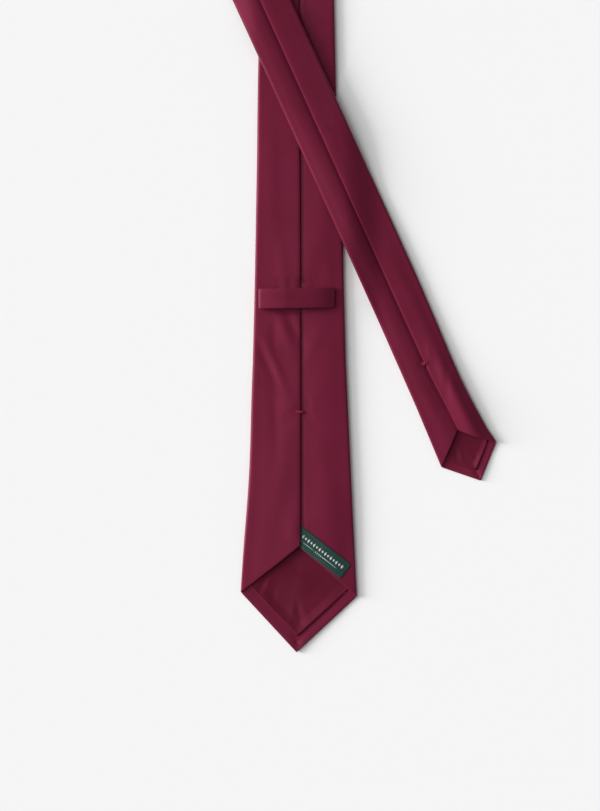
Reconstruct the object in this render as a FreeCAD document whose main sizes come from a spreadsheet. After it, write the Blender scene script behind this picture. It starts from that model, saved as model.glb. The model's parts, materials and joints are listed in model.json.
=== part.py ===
import FreeCAD, Part
import math
import os
import Sketcher

# A necktie laid out on a table with its back up: the wide blade runs straight up the table, the neckband
# is turned over twice in flat mitred folds, and the narrow tail comes back down across the blade.
# The tie is an envelope of cloth round an interlining, closed down the back by one hidden thread.
#
# Frame: origin on the table under the middle of the blade's widest line, +Y from there to the neck,
# +Z up off the table, which is out of the back of the blade. Millimetres.
#
# Every run of the tie is drawn in a frame of its own, +Y along the run, and then placed on the table.
# The two ends have the widest line on their X axis and the point at -Y.

SIZES = {
    # the stack of layers
    "cloth": 0.5,
    "layer_gap": 0.1,
    "interlining": 1.8,
    "lining": 0.4,
    "thread": 0.25,
    "stitch": 2.2,
    "stitch_pitch": 3.4,
    "seam_slit": 0.3,
    "stack_gap": 0.4,
    "joint_gap": 0.3,
    # wide blade
    "blade_width": 80.0,
    "blade_bend_width": 65.0,
    "blade_bend": 160.0,
    "blade_length": 677.0,
    "blade_opening": 33.5,
    "blade_hem": 7.3,
    "blade_lining": 58.0,
    "blade_tack": 126.0,
    # neckband
    "neck_width": 36.0,
    "neck_span": 137.0,
    "neck_seam": 68.0,
    "seam_margin": 3.6,
    # narrow tail
    "tail_width": 41.5,
    "tail_bend_width": 37.0,
    "tail_bend": 105.0,
    "tail_length": 605.0,
    "tail_opening": 18.6,
    "tail_hem": 5.5,
    "tail_lining": 38.0,
    "tail_tack": 69.0,
    "tail_seam": 120.0,
    "cross_angle": 24.5,
    # how a run climbs on and off what it lies on
    "mitre_margin": 4.0,
    "ramp": 60.0,
    "cross_margin": 8.0,
    # keeper loop on the back of the blade
    "keeper_place": 203.0,
    "keeper_width": 52.0,
    "keeper_band": 13.0,
    "keeper_cloth": 0.8,
    "keeper_gap": 5.0,
    # woven label
    "label_band": 12.6,
    "label_reach": 35.0,
    "label_cloth": 0.25,
}
KNIFE = 400.0  # side of the blocks that trim the runs, longer than any cut
KNIFE_DEPTH = 60.0
TACK_THREADS = 5

doc = FreeCAD.newDocument("necktie")
sheet = doc.addObject("Spreadsheet::Sheet", "sizes")
for row, (alias, number) in enumerate(SIZES.items(), 1):
    sheet.set(f"A{row}", alias)
    sheet.set(f"B{row}", str(number))
    sheet.setAlias(f"B{row}", alias)
doc.recompute()


# ---------------------------------------------------------------- expressions


def value(expression):
    """The number that an expression on the sheet stands for."""
    return float(sheet.evalExpression(expression.replace("sizes.", "")))


def bind(thing, **expressions):
    """Binds properties of an object to the sheet; a double underscore stands for a dot."""
    for name, expression in expressions.items():
        thing.setExpression(name.replace("__", "."), expression)


HALF_SLIT = "sizes.seam_slit / 2"
THICKNESS = "(3 * sizes.cloth + sizes.interlining + 3 * sizes.layer_gap)"  # face, hem and flap
ROLL = f"{THICKNESS} / 2"  # outer radius of the rolled side edges
LIFT = f"({THICKNESS} + sizes.stack_gap)"  # height of a run that lies on another
MITRE = "(45 - sizes.cross_angle / 4)"  # slope of both fold lines across the band
INSIDE = "(sizes.cloth + sizes.layer_gap)"  # underside of the interlining
FILLED = f"({INSIDE} + sizes.interlining)"  # its top
LINING_LOW = f"({FILLED} + sizes.layer_gap)"
HEM_TOP = f"({THICKNESS} - sizes.cloth - sizes.layer_gap)"
HALF_BLADE = "sizes.blade_width / 2"
HALF_BLADE_BEND = "sizes.blade_bend_width / 2"
HALF_NECK = "sizes.neck_width / 2"
HALF_TAIL = "sizes.tail_width / 2"
HALF_TAIL_BEND = "sizes.tail_bend_width / 2"
MITRE_RUN = (  # along a run, from a fold to where the run has left the footprint of the one it lies on
    f"({HALF_NECK} * (1 + sin(sizes.cross_angle / 2)) / cos(sizes.cross_angle / 2) + sizes.mitre_margin)"
)
RAMP_FOOT = f"({MITRE_RUN} + sizes.ramp)"
CROSSING = "(sizes.neck_span / 2 / sin(sizes.cross_angle / 2))"  # from the second fold, along the tail
BLADE_AT_CROSSING = (
    "(sizes.neck_width / 2 + (sizes.blade_bend_width - sizes.neck_width) / 2"
    f" * {CROSSING} / (sizes.blade_length - sizes.blade_bend))"
)
CROSS_REACH = (
    f"(({BLADE_AT_CROSSING} + {HALF_TAIL_BEND} * cos(sizes.cross_angle)) / sin(sizes.cross_angle)"
    " + sizes.cross_margin)"
)
TAIL_BEND_LINE = "(sizes.tail_length - sizes.tail_bend)"

# frames of the runs, as (x, y, turn about Z)
BLADE_FRAME = ("0", "0", "0")
NECK_FRAME = ("0", "sizes.blade_length", "90 + sizes.cross_angle / 2")
TAIL_FRAME = (
    "-sizes.neck_span * cos(sizes.cross_angle / 2)",
    "sizes.blade_length - sizes.neck_span * sin(sizes.cross_angle / 2)",
    "180 + sizes.cross_angle",
)
TAIL_END_FRAME = (
    f"{TAIL_FRAME[0]} + sizes.tail_length * sin(sizes.cross_angle)",
    f"{TAIL_FRAME[1]} - sizes.tail_length * cos(sizes.cross_angle)",
    "sizes.cross_angle",
)


def place(thing, frame):
    """Puts a finished piece into one of the frames above."""
    x, y, turn = frame
    bind(thing, Placement__Base__x=x, Placement__Base__y=y, Placement__Rotation__Angle=turn)
    return thing


# ---------------------------------------------------------------- sketches


def draw_loop(sketch, corners, bulges=None):
    """Draws a closed loop through corners given as (x, y) expressions, each pinned to the sheet.

    bulges maps an edge's number to the x of the centre of a half circle that replaces that edge.
    """
    bulges = bulges or {}
    points = [FreeCAD.Vector(value(x), value(y), 0) for x, y in corners]
    count = len(corners)
    ends = []
    for i in range(count):
        a, b = points[i], points[(i + 1) % count]
        if i not in bulges:
            ends.append((sketch.addGeometry(Part.LineSegment(a, b)), 1, 2))
            continue
        centre = FreeCAD.Vector(value(bulges[i]), (a.y + b.y) / 2, 0)
        on_left = centre.x < 0
        circle = Part.Circle(centre, FreeCAD.Vector(0, 0, 1), abs(a.y - b.y) / 2)
        start_angle = math.pi / 2 if on_left else -math.pi / 2
        arc = sketch.addGeometry(Part.ArcOfCircle(circle, start_angle, start_angle + math.pi))
        starts_high = on_left
        ends.append((arc, 1, 2) if (a.y > b.y) == starts_high else (arc, 2, 1))
        k = sketch.addConstraint(Sketcher.Constraint("DistanceX", -1, 1, arc, 3, centre.x))
        sketch.setExpression(f"Constraints[{k}]", bulges[i])
    for i in range(count):
        edge, _, last = ends[i]
        following, first, _ = ends[(i + 1) % count]
        sketch.addConstraint(Sketcher.Constraint("Coincident", edge, last, following, first))
    for i, (x, y) in enumerate(corners):
        edge, first, _ = ends[i]
        for kind, expression, number in (("DistanceX", x, points[i].x), ("DistanceY", y, points[i].y)):
            k = sketch.addConstraint(Sketcher.Constraint(kind, -1, 1, edge, first, number))
            sketch.setExpression(f"Constraints[{k}]", expression)


def plan_sketch(name, corners):
    """A loose sketch on the table plane."""
    sketch = doc.addObject("Sketcher::SketchObject", name)
    draw_loop(sketch, corners)
    return sketch


def section_sketch(name, along, height, corners, bulges=None):
    """A loose sketch that stands across a run at a distance along it, seen with +Z up."""
    sketch = doc.addObject("Sketcher::SketchObject", name)
    sketch.Placement = FreeCAD.Placement(FreeCAD.Vector(), FreeCAD.Rotation(FreeCAD.Vector(1, 0, 0), 90))
    draw_loop(sketch, corners, bulges)
    bind(sketch, Placement__Base__y=along, Placement__Base__z=height)
    return sketch


# ---------------------------------------------------------------- runs of the tie


def envelope_corners(half, slit_up):
    """The section of the cloth envelope: a flat ring, open at the slit between its two flaps."""
    side = f"({half} - {ROLL})"
    low, high = ("0", "sizes.cloth"), (THICKNESS, f"{THICKNESS} - sizes.cloth")
    (face_out, face_in), (flap_out, flap_in) = (low, high) if slit_up else (high, low)
    corners = [
        (f"-{HALF_SLIT}", flap_out),
        (f"-{side}", flap_out),
        (f"-{side}", face_out),
        (side, face_out),
        (side, flap_out),
        (HALF_SLIT, flap_out),
        (HALF_SLIT, flap_in),
        (side, flap_in),
        (side, face_in),
        (f"-{side}", face_in),
        (f"-{side}", flap_in),
        (f"-{HALF_SLIT}", flap_in),
    ]
    bulges = {1: f"-{side}", 3: side, 7: side, 9: f"-{side}"}
    return corners, bulges


def rectangle(half, low, high):
    """Corners of a rectangle centred on the run."""
    return [(f"-({half})", low), (half, low), (half, high), (f"-({half})", high)]


def loft(name, sections):
    """A ruled solid through sections that stand one after another along a run."""
    made = doc.addObject("Part::Loft", name)
    made.Sections = sections
    made.Solid = True
    made.Ruled = True
    return made


def envelope_run(name, stations, slit_up):
    """The cloth envelope along a run; a station is (distance, height, half width)."""
    sections = []
    for i, (along, height, half) in enumerate(stations):
        corners, bulges = envelope_corners(half, slit_up)
        sections.append(section_sketch(f"{name}_section_{i}", along, height, corners, bulges))
    return loft(name, sections)


def filler_run(name, stations, half_of, low, high, slit_up=True):
    """A flat layer inside the envelope; low and high are counted from the face of the tie."""
    if not slit_up:
        low, high = f"{THICKNESS} - ({high})", f"{THICKNESS} - ({low})"
    sections = [
        section_sketch(f"{name}_section_{i}", along, height, rectangle(half_of(half), low, high))
        for i, (along, height, half) in enumerate(stations)
    ]
    return loft(name, sections)


def interlining_run(name, stations, slit_up):
    """The interlining that fills a run between its rolled edges."""
    return filler_run(name, stations, lambda half: f"{half} - {ROLL}", INSIDE, FILLED, slit_up)


def slip_stitch_run(name, stations, slit_up):
    """The one loose thread that closes the back, under the flaps."""
    low = f"{FILLED} + sizes.layer_gap / 2"
    high = f"{low} + sizes.thread"
    return filler_run(name, stations, lambda half: "sizes.thread / 2", low, high, slit_up)


def knife(name, along, slope, beyond, gap="0"):
    """A block with one face on the line that crosses the run at a distance along it and at a slope.

    It lies beyond that line or before it, and starts half a gap on the kept side.
    """
    block = doc.addObject("Part::Box", name)
    block.Length = KNIFE
    block.Width = KNIFE
    block.Height = KNIFE_DEPTH
    across = f"(-{gap} / 2)" if beyond else f"({gap} / 2 - {KNIFE})"
    bind(
        block,
        Placement__Base__x=f"-{KNIFE / 2} * cos({slope}) - {across} * sin({slope})",
        Placement__Base__y=f"{along} - {KNIFE / 2} * sin({slope}) + {across} * cos({slope})",
        Placement__Base__z=f"-{KNIFE_DEPTH / 2}",
        Placement__Rotation__Angle=slope,
    )
    return block


def cut(name, base, tool):
    """base without tool."""
    made = doc.addObject("Part::Cut", name)
    made.Base = base
    made.Tool = tool
    return made


def common(name, base, tool):
    """What base and tool share."""
    made = doc.addObject("Part::Common", name)
    made.Base = base
    made.Tool = tool
    return made


def group(name, members):
    """Several separate solids as one node."""
    made = doc.addObject("Part::Compound", name)
    made.Links = members
    return made


def trimmed(name, base, tools):
    """base with each tool cut away in turn."""
    for i, tool in enumerate(tools[:-1]):
        base = cut(f"{name}_trim_{i}", base, tool)
    return cut(name, base, tools[-1])


# ---------------------------------------------------------------- flat pieces


def flat_body(name, corners, low, height):
    """A PartDesign body: one plan sketch at a height, padded upwards."""
    body = doc.addObject("PartDesign::Body", name)
    sketch = body.newObject("Sketcher::SketchObject", f"{name}_plan")
    table = next(f for f in body.Origin.OriginFeatures if f.Role == "XY_Plane")
    sketch.AttachmentSupport = [(table, "")]
    sketch.MapMode = "FlatFace"
    draw_loop(sketch, corners)
    bind(sketch, AttachmentOffset__Base__z=low)
    pad = body.newObject("PartDesign::Pad", f"{name}_pad")
    pad.Profile = sketch
    bind(pad, Length=height)
    return body


def slab(name, corners, low, height):
    """A loose extruded plan, for cutting and joining."""
    made = doc.addObject("Part::Extrusion", name)
    made.Base = plan_sketch(f"{name}_plan", corners)
    made.DirMode = "Custom"
    made.Dir = FreeCAD.Vector(0, 0, 1)
    made.Solid = True
    bind(made, LengthFwd=height, Placement__Base__z=low)
    return made


def tip_corners(half, inset):
    """The right-angled point below the widest line, drawn in by an inset from its two edges."""
    reach = f"({half} - ({inset}) / sin(45))"
    return [(f"-{reach}", "0"), ("0", f"-{reach}"), (reach, "0")]


def stitch_row(name, start, direction, length, height):
    """Stitches laid end to end along a line on the plan, centred at a height."""
    turn = math.degrees(math.atan2(direction[1], direction[0]))
    upright_to_x = FreeCAD.Rotation(FreeCAD.Vector(0, 1, 0), 90)
    lying = FreeCAD.Rotation(FreeCAD.Vector(0, 0, 1), turn) * upright_to_x
    pitch = value("sizes.stitch_pitch")
    stitches = []
    for i in range(int(length // pitch)):
        at = (i + 0.5) * pitch - value("sizes.stitch") / 2
        stitch = doc.addObject("Part::Cylinder", f"{name}_{i}")
        bind(stitch, Radius="sizes.thread / 2", Height="sizes.stitch")
        where = FreeCAD.Vector(start[0] + direction[0] * at, start[1] + direction[1] * at, height(at))
        stitch.Placement = FreeCAD.Placement(where, lying)
        stitches.append(stitch)
    return stitches


def bar_tack(name, along):
    """A few threads side by side across the back seam."""
    threads = []
    for i in range(TACK_THREADS):
        thread = doc.addObject("Part::Cylinder", f"{name}_{i}")
        bind(
            thread,
            Radius="sizes.thread",
            Height="2 * sizes.stitch",
            Placement__Base__x="-sizes.stitch",
            Placement__Base__y=f"{along} + 2 * sizes.thread * {i - (TACK_THREADS - 1) / 2}",
            Placement__Base__z=f"{THICKNESS} + sizes.thread",
        )
        thread.Placement.Rotation = FreeCAD.Rotation(FreeCAD.Vector(0, 1, 0), 90)
        threads.append(thread)
    return group(name, threads)


# ---------------------------------------------------------------- the two ends


def end_shell(name, half, bend_half, bend, opening, hem):
    """The cloth of an end: the envelope, its flaps cut back to a V, and the hemmed point below."""
    stations = [("0", "0", half), (f"{bend} - sizes.joint_gap / 2", "0", bend_half)]
    foot_x, foot_y = f"({half} + 1)", f"-{opening} / ({half})"
    flap_cut = slab(
        f"{name}_v",
        [(f"-{foot_x}", foot_y), (foot_x, foot_y), ("0", opening)],
        HEM_TOP,
        "2 * sizes.cloth",
    )
    envelope = cut(f"{name}_envelope", envelope_run(f"{name}_tube", stations, True), flap_cut)
    hem_low = f"({HEM_TOP} - sizes.cloth)"
    block = slab(f"{name}_point_block", tip_corners(half, "0"), "0", HEM_TOP)
    pocket = tip_corners(half, "sizes.cloth")
    window = tip_corners(half, hem)
    point = trimmed(
        f"{name}_point",
        block,
        [
            slab(f"{name}_point_inside", pocket, "sizes.cloth", f"{hem_low} - sizes.cloth"),
            slab(f"{name}_point_window", window, hem_low, "2 * sizes.cloth"),
        ],
    )
    shell = doc.addObject("Part::Fuse", name)
    shell.Base = envelope
    shell.Tool = point
    return shell


def end_interlining(name, half, bend_half, bend):
    """The interlining of an end, cut to the point."""
    inset = f"({half} - {ROLL})"
    bend_inset = f"({bend_half} - {ROLL})"
    stop = f"{bend} - sizes.joint_gap / 2"
    corners = [
        (bend_inset, stop),
        (f"-{bend_inset}", stop),
        (f"-{inset}", "0"),
        ("0", f"-{inset} + {ROLL}"),
        (inset, "0"),
    ]
    return flat_body(name, corners, INSIDE, "sizes.interlining")


def end_lining(name, half, bend_half, bend, hem, top):
    """The tipping that lines an end: it meets the hem and runs up under the flaps."""
    edge = f"({half} - ({hem} + sizes.layer_gap) / sin(45))"
    side = f"({half} - {ROLL} + ({bend_half} - {half}) * {top} / {bend})"
    corners = [(side, top), (f"-{side}", top), (f"-{edge}", "0"), ("0", f"-{edge}"), (edge, "0")]
    return flat_body(name, corners, LINING_LOW, "sizes.lining")


def lining_stitches(name, half, hem):
    """The seam that joins the tipping to the hem, as two rows of stitches that meet at the point."""
    inset = value(f"{half} - ({hem} + 2 * sizes.thread) / sin(45)")
    length = inset * math.sqrt(2)
    height = value(f"{LINING_LOW} + sizes.lining + sizes.thread / 2")
    slope = math.sqrt(0.5)
    stitches = []
    for side, x in (("left", -inset), ("right", inset)):
        inwards = (-math.copysign(slope, x), -slope)
        stitches += stitch_row(f"{name}_{side}", (x, 0.0), inwards, length, lambda at: height)
    return group(name, stitches)


BLADE_END = (HALF_BLADE, HALF_BLADE_BEND, "sizes.blade_bend")
TAIL_END = (HALF_TAIL, HALF_TAIL_BEND, "sizes.tail_bend")


def end_thread(name, end, tack):
    """The slip stitch from the bar tack to the bend line."""
    _, bend_half, bend = end
    stations = [(tack, "0", bend_half), (f"{bend} - sizes.joint_gap / 2", "0", bend_half)]
    return slip_stitch_run(name, stations, True)


def wide_end():
    """The pieces of the blade below its bend line."""
    slope = f"atan(sizes.blade_opening / ({HALF_BLADE}))"
    near_x = "sizes.seam_slit"
    near_y = f"sizes.blade_opening - {near_x} * tan({slope})"
    far_x = f"sizes.label_reach * cos({slope})"
    far_y = f"sizes.blade_opening - sizes.label_reach * sin({slope})"
    label_corners = [
        (near_x, near_y),
        (far_x, far_y),
        (f"{far_x} + sizes.label_band * sin({slope})", f"{far_y} + sizes.label_band * cos({slope})"),
        (near_x, f"{near_y} + sizes.label_band / cos({slope})"),
    ]
    return [
        end_shell("blade_end_shell", *BLADE_END, "sizes.blade_opening", "sizes.blade_hem"),
        end_interlining("blade_end_interlining", *BLADE_END),
        end_lining("blade_tipping", *BLADE_END, "sizes.blade_hem", "sizes.blade_lining"),
        lining_stitches("blade_tipping_stitches", HALF_BLADE, "sizes.blade_hem"),
        end_thread("blade_end_slip_stitch", BLADE_END, "sizes.blade_tack"),
        bar_tack("blade_bar_tack", "sizes.blade_tack"),
        flat_body("label", label_corners, THICKNESS, "sizes.label_cloth"),
        label_stitches(),
    ]


def label_stitches():
    """The tacks that hold the label's outer end, across its two corners."""
    slope = math.atan2(value("sizes.blade_opening"), value(HALF_BLADE))
    along, across = (math.cos(slope), -math.sin(slope)), (math.sin(slope), math.cos(slope))
    reach = value("sizes.label_reach - 2 * sizes.stitch")
    inset, band, pitch = value("sizes.stitch"), value("sizes.label_band"), value("sizes.stitch_pitch")
    height = value(f"{THICKNESS} + sizes.label_cloth + sizes.thread / 2")
    rows = []
    for i, up in enumerate((inset, band - inset - pitch)):
        x = reach * along[0] + up * across[0]
        y = value("sizes.blade_opening") + reach * along[1] + up * across[1]
        rows += stitch_row(f"label_stitches_{i}", (x, y), across, pitch, lambda at: height)
    return group("label_stitches", rows)


def narrow_end():
    """The pieces of the tail below its bend line."""
    return [
        end_shell("tail_end_shell", *TAIL_END, "sizes.tail_opening", "sizes.tail_hem"),
        end_interlining("tail_end_interlining", *TAIL_END),
        end_lining("tail_tipping", *TAIL_END, "sizes.tail_hem", "sizes.tail_lining"),
        lining_stitches("tail_tipping_stitches", HALF_TAIL, "sizes.tail_hem"),
        end_thread("tail_end_slip_stitch", TAIL_END, "sizes.tail_tack"),
        bar_tack("tail_bar_tack", "sizes.tail_tack"),
    ]


# ---------------------------------------------------------------- the blade above its bend line


def blade_run():
    """The blade from its bend line to the first fold, with the keeper loop on its back."""
    stations = [
        ("sizes.blade_bend + sizes.joint_gap / 2", "0", HALF_BLADE_BEND),
        ("sizes.blade_length", "0", HALF_NECK),
        ("sizes.blade_length + sizes.neck_width", "0", HALF_NECK),
    ]
    pieces = []
    for name, run in (
        ("blade_shell", envelope_run),
        ("blade_interlining", interlining_run),
        ("blade_slip_stitch", slip_stitch_run),
    ):
        fold = knife(f"{name}_fold", "sizes.blade_length", f"-{MITRE}", True, "sizes.joint_gap")
        pieces.append(cut(name, run(f"{name}_run", stations, True), fold))
    return pieces + [keeper_loop(), keeper_tack()]


def keeper_loop():
    """A flat ring of folded cloth that stands on the back of the blade, open up and down the tie."""
    body = doc.addObject("PartDesign::Body", "keeper_loop")
    sketch = body.newObject("Sketcher::SketchObject", "keeper_loop_section")
    upright = next(f for f in body.Origin.OriginFeatures if f.Role == "XZ_Plane")
    sketch.AttachmentSupport = [(upright, "")]
    sketch.MapMode = "FlatFace"
    bind(sketch, AttachmentOffset__Base__y=THICKNESS, AttachmentOffset__Base__z="-sizes.keeper_place")
    tall = "(sizes.keeper_gap + 2 * sizes.keeper_cloth)"
    straight = f"(sizes.keeper_width / 2 - {tall} / 2)"
    for low, high in (("0", tall), ("sizes.keeper_cloth", f"{tall} - sizes.keeper_cloth")):
        corners = [(f"-{straight}", low), (straight, low), (straight, high), (f"-{straight}", high)]
        draw_loop(sketch, corners, {1: straight, 3: f"-{straight}"})
    pad = body.newObject("PartDesign::Pad", "keeper_loop_pad")
    pad.Profile = sketch
    pad.Midplane = True
    bind(pad, Length="sizes.keeper_band")
    return body


def keeper_tack():
    """The stitches that hold the keeper's lower band to the back seam."""
    height = value(f"{THICKNESS} + sizes.keeper_cloth + sizes.thread / 2")
    start = value("sizes.keeper_place - sizes.keeper_band / 2")
    band, aside = value("sizes.keeper_band"), value("sizes.stitch / 2")
    stitches = []
    for side, x in (("left", -aside), ("right", aside)):
        stitches += stitch_row(f"keeper_tack_{side}", (x, start), (0.0, 1.0), band, lambda at: height)
    return group("keeper_tack", stitches)


# ---------------------------------------------------------------- the neckband and the tail


def split_run(run, seam, first_name, second_name):
    """Parts a run of cloth at a diagonal piecing seam into the two panels that meet there."""
    before = knife(f"{second_name}_seam", seam, "45", False)
    return [common(first_name, run, before), cut(second_name, run, before)]


def seam_stitches(name, stations, seam, half, slit_up):
    """The stitches of a diagonal piecing seam, inside the envelope."""
    level = f"{HEM_TOP} - sizes.thread / 2"
    inside = value(level if slit_up else f"{THICKNESS} - ({level})")
    reach = value(f"{half} - sizes.seam_margin")
    profile = [(value(along), value(height)) for along, height, _ in stations]

    def height(at):
        along = value(seam) + (at - length / 2) * math.sqrt(0.5)
        for (s0, z0), (s1, z1) in zip(profile, profile[1:]):
            if s0 <= along <= s1:
                return inside + z0 + (z1 - z0) * (along - s0) / (s1 - s0)
        return inside + profile[-1][1]

    length = 2 * reach * math.sqrt(2)
    start = (-reach, value(seam) - reach)
    return group(name, stitch_row(name, start, (math.sqrt(0.5), math.sqrt(0.5)), length, height))


def neck_run():
    """The neckband between the two folds, face up, so its seam is underneath."""
    stations = [
        ("-sizes.neck_width", LIFT, HALF_NECK),
        (MITRE_RUN, LIFT, HALF_NECK),
        (RAMP_FOOT, "0", HALF_NECK),
        ("sizes.neck_span + sizes.neck_width", "0", HALF_NECK),
    ]
    made = {}
    for name, run in (
        ("neck_cloth", envelope_run),
        ("neck_interlining", interlining_run),
        ("neck_slip_stitch", slip_stitch_run),
    ):
        folds = [
            knife(f"{name}_fold_0", "0", MITRE, False, "sizes.joint_gap"),
            knife(f"{name}_fold_1", "sizes.neck_span", f"-{MITRE}", True, "sizes.joint_gap"),
        ]
        made[name] = trimmed(name, run(f"{name}_run", stations, False), folds)
    panels = split_run(made["neck_cloth"], "sizes.neck_seam", "blade_shell_top", "neck_shell")
    seam = seam_stitches("blade_neck_seam", stations, "sizes.neck_seam", HALF_NECK, False)
    return panels + [made["neck_interlining"], made["neck_slip_stitch"], seam]


def tail_stations():
    """Where the tail climbs over the blade; a tail too short to come down again stays up on it."""
    rise_start = f"({CROSSING} - {CROSS_REACH} - sizes.ramp)"
    rise_end = f"({CROSSING} - {CROSS_REACH})"
    fall_start = f"({CROSSING} + {CROSS_REACH})"
    fall_end = f"({fall_start} + sizes.ramp)"
    stop = f"{TAIL_BEND_LINE} - sizes.joint_gap / 2"

    def half(along):
        return f"({HALF_NECK} + ({HALF_TAIL_BEND} - {HALF_NECK}) * {along} / {TAIL_BEND_LINE})"

    climb = [
        ("-sizes.neck_width", LIFT, HALF_NECK),
        (MITRE_RUN, LIFT, half(MITRE_RUN)),
        (RAMP_FOOT, "0", half(RAMP_FOOT)),
        (rise_start, "0", half(rise_start)),
        (rise_end, LIFT, half(rise_end)),
    ]
    if value(fall_end) < value(stop):
        top = [climb[-1], (fall_start, LIFT, half(fall_start))]
        return [climb, top, [top[-1], (fall_end, "0", half(fall_end)), (stop, "0", HALF_TAIL_BEND)]], "0"
    return [climb, [climb[-1], (stop, LIFT, HALF_TAIL_BEND)]], LIFT


def tail_run():
    """The tail from the second fold to its bend line, back up, over the blade and down to the table."""
    spans, end_height = tail_stations()
    through = spans[0] + [station for span in spans[1:] for station in span[1:]]
    runs = {
        "tail_cloth": group(
            "tail_cloth_runs",
            [envelope_run(f"tail_cloth_run_{i}", span, True) for i, span in enumerate(spans)],
        ),
        "tail_interlining": interlining_run("tail_interlining_run", through, True),
        "tail_slip_stitch": slip_stitch_run("tail_slip_stitch_run", through, True),
    }
    made = {}
    for name, run in runs.items():
        made[name] = cut(name, run, knife(f"{name}_fold", "0", MITRE, False, "sizes.joint_gap"))
    panels = split_run(made["tail_cloth"], "sizes.tail_seam", "neck_shell_end", "tail_shell")
    seam = seam_stitches("neck_tail_seam", through, "sizes.tail_seam", HALF_NECK, True)
    return panels + [made["tail_interlining"], made["tail_slip_stitch"], seam], end_height


# ---------------------------------------------------------------- assembly

nodes = []
for piece in wide_end() + blade_run():
    nodes.append(place(piece, BLADE_FRAME))
for piece in neck_run():
    nodes.append(place(piece, NECK_FRAME))
tail_pieces, tail_end_height = tail_run()
for piece in tail_pieces:
    nodes.append(place(piece, TAIL_FRAME))
for piece in narrow_end():
    bind(place(piece, TAIL_END_FRAME), Placement__Base__z=tail_end_height)
    nodes.append(piece)
for piece in nodes:
    piece.Label = piece.Name

doc.recompute()
for thing in doc.Objects:
    if "Invalid" in thing.State or "Error" in thing.State:
        raise RuntimeError(f"{thing.Name} failed: {thing.State}")
os.makedirs("parts", exist_ok=True)
for piece in nodes:
    shape = piece.Shape
    if shape.isNull() or not shape.isValid() or not shape.Solids:
        raise RuntimeError(f"{piece.Label} has no valid solid")
    shape.exportStep(f"parts/{piece.Label}.step")
    print(f"{piece.Label}: {len(shape.Solids)} solids, {shape.Volume:.1f} mm3")
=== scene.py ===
# %% [markdown]
# # A lined necktie, laid on its face
# A tie is one long envelope of satin. The cloth is cut on the bias, its two long edges are folded to the
# middle of the back, one flap over the other, and a loose thread closes them over a woollen interlining.
# It could be drawn as a flat slab with a picture of a tie on it, but then no edge would roll and no flap
# would throw a shadow. So the cloth is folded here as a tailor folds it: every point of the flat cut is
# sent round the side rolls to its place, and the same few formulas serve the blade, neckband and tail.

# %% Load the fixed model
import json
import math

import bmesh
import bpy
import numpy as np
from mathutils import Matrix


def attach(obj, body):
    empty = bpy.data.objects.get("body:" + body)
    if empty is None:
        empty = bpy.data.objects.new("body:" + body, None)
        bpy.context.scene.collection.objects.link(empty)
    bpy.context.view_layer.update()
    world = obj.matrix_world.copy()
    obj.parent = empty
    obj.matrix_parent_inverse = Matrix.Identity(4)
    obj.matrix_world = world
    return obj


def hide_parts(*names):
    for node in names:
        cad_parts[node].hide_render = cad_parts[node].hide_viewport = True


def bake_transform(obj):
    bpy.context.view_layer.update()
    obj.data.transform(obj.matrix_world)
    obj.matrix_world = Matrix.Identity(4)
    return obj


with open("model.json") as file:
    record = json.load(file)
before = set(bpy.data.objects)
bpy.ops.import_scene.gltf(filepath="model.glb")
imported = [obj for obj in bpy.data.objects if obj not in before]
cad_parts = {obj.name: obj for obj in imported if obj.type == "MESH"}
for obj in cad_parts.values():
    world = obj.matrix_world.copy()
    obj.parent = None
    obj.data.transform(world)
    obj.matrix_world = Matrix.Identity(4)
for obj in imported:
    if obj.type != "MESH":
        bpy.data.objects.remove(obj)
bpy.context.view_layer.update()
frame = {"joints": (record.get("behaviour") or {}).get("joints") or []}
MM = 0.001
joints = {joint["name"]: joint for joint in frame["joints"]}

# %% [markdown]
# ## Camera
# The tie is seen from straight above, from far enough away that its near and far ends look the same
# size. A long lens from a few metres up does that and still gives a true perspective.

# %% Set the camera
VIEW_HEIGHT = 0.5604
VIEW_CENTRE = (0.0009, 0.1303)
CAMERA_HEIGHT = 2.8
FILM = 24.0
camera_data = bpy.data.cameras.new("overhead")
camera_data.sensor_fit = "VERTICAL"
camera_data.sensor_height = FILM
camera_data.lens = FILM * CAMERA_HEIGHT / VIEW_HEIGHT
camera_data.clip_end = 20.0
camera = bpy.data.objects.new("overhead", camera_data)
camera.location = (*VIEW_CENTRE, CAMERA_HEIGHT)
bpy.context.scene.collection.objects.link(camera)
bpy.context.scene.camera = camera
print("lens", round(camera_data.lens, 1), "mm")

# %% [markdown]
# ## Where the three legs lie
# Two flat folds turn the neckband, so the tie on the table has three straight legs: the blade, the
# neckband and the tail. The hinges of the fixed model stand on the two fold lines and on the bend line of
# the tail, which is enough to find every leg's start and direction. Working in millimetres keeps the
# numbers readable; they turn into metres only when a mesh is made.


# %% Read the legs from the hinges
def joint_point(name):
    """A hinge's place, in millimetres."""
    return np.array(joints[name]["pos_m"]) / MM


fold_1, fold_2, tail_bend = (joint_point(name) for name in ("blade_fold", "tail_fold", "tail_end_lift"))
FOLD_LEVEL = fold_1[2]
NECK_SPAN = float(np.linalg.norm((fold_2 - fold_1)[:2]))
TAIL_LENGTH = 605.0
BLADE_LENGTH = fold_1[1]
neck_way = (fold_2 - fold_1)[:2] / NECK_SPAN
tail_way = (tail_bend - fold_2)[:2] / np.linalg.norm((tail_bend - fold_2)[:2])
MITRE = math.tan(math.radians(45) - math.acos(float(-tail_way[1])) / 4)
print("neckband", round(NECK_SPAN, 1), "mm, mitre slope", round(MITRE, 3))


# %% Smooth steps and bulges
def ease(t):
    """A smooth step from 0 to 1."""
    t = np.clip(t, 0.0, 1.0)
    return t * t * (3.0 - 2.0 * t)


def settle(t):
    """A smooth step from 1 down to 0."""
    return 1.0 - ease(t)


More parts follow.
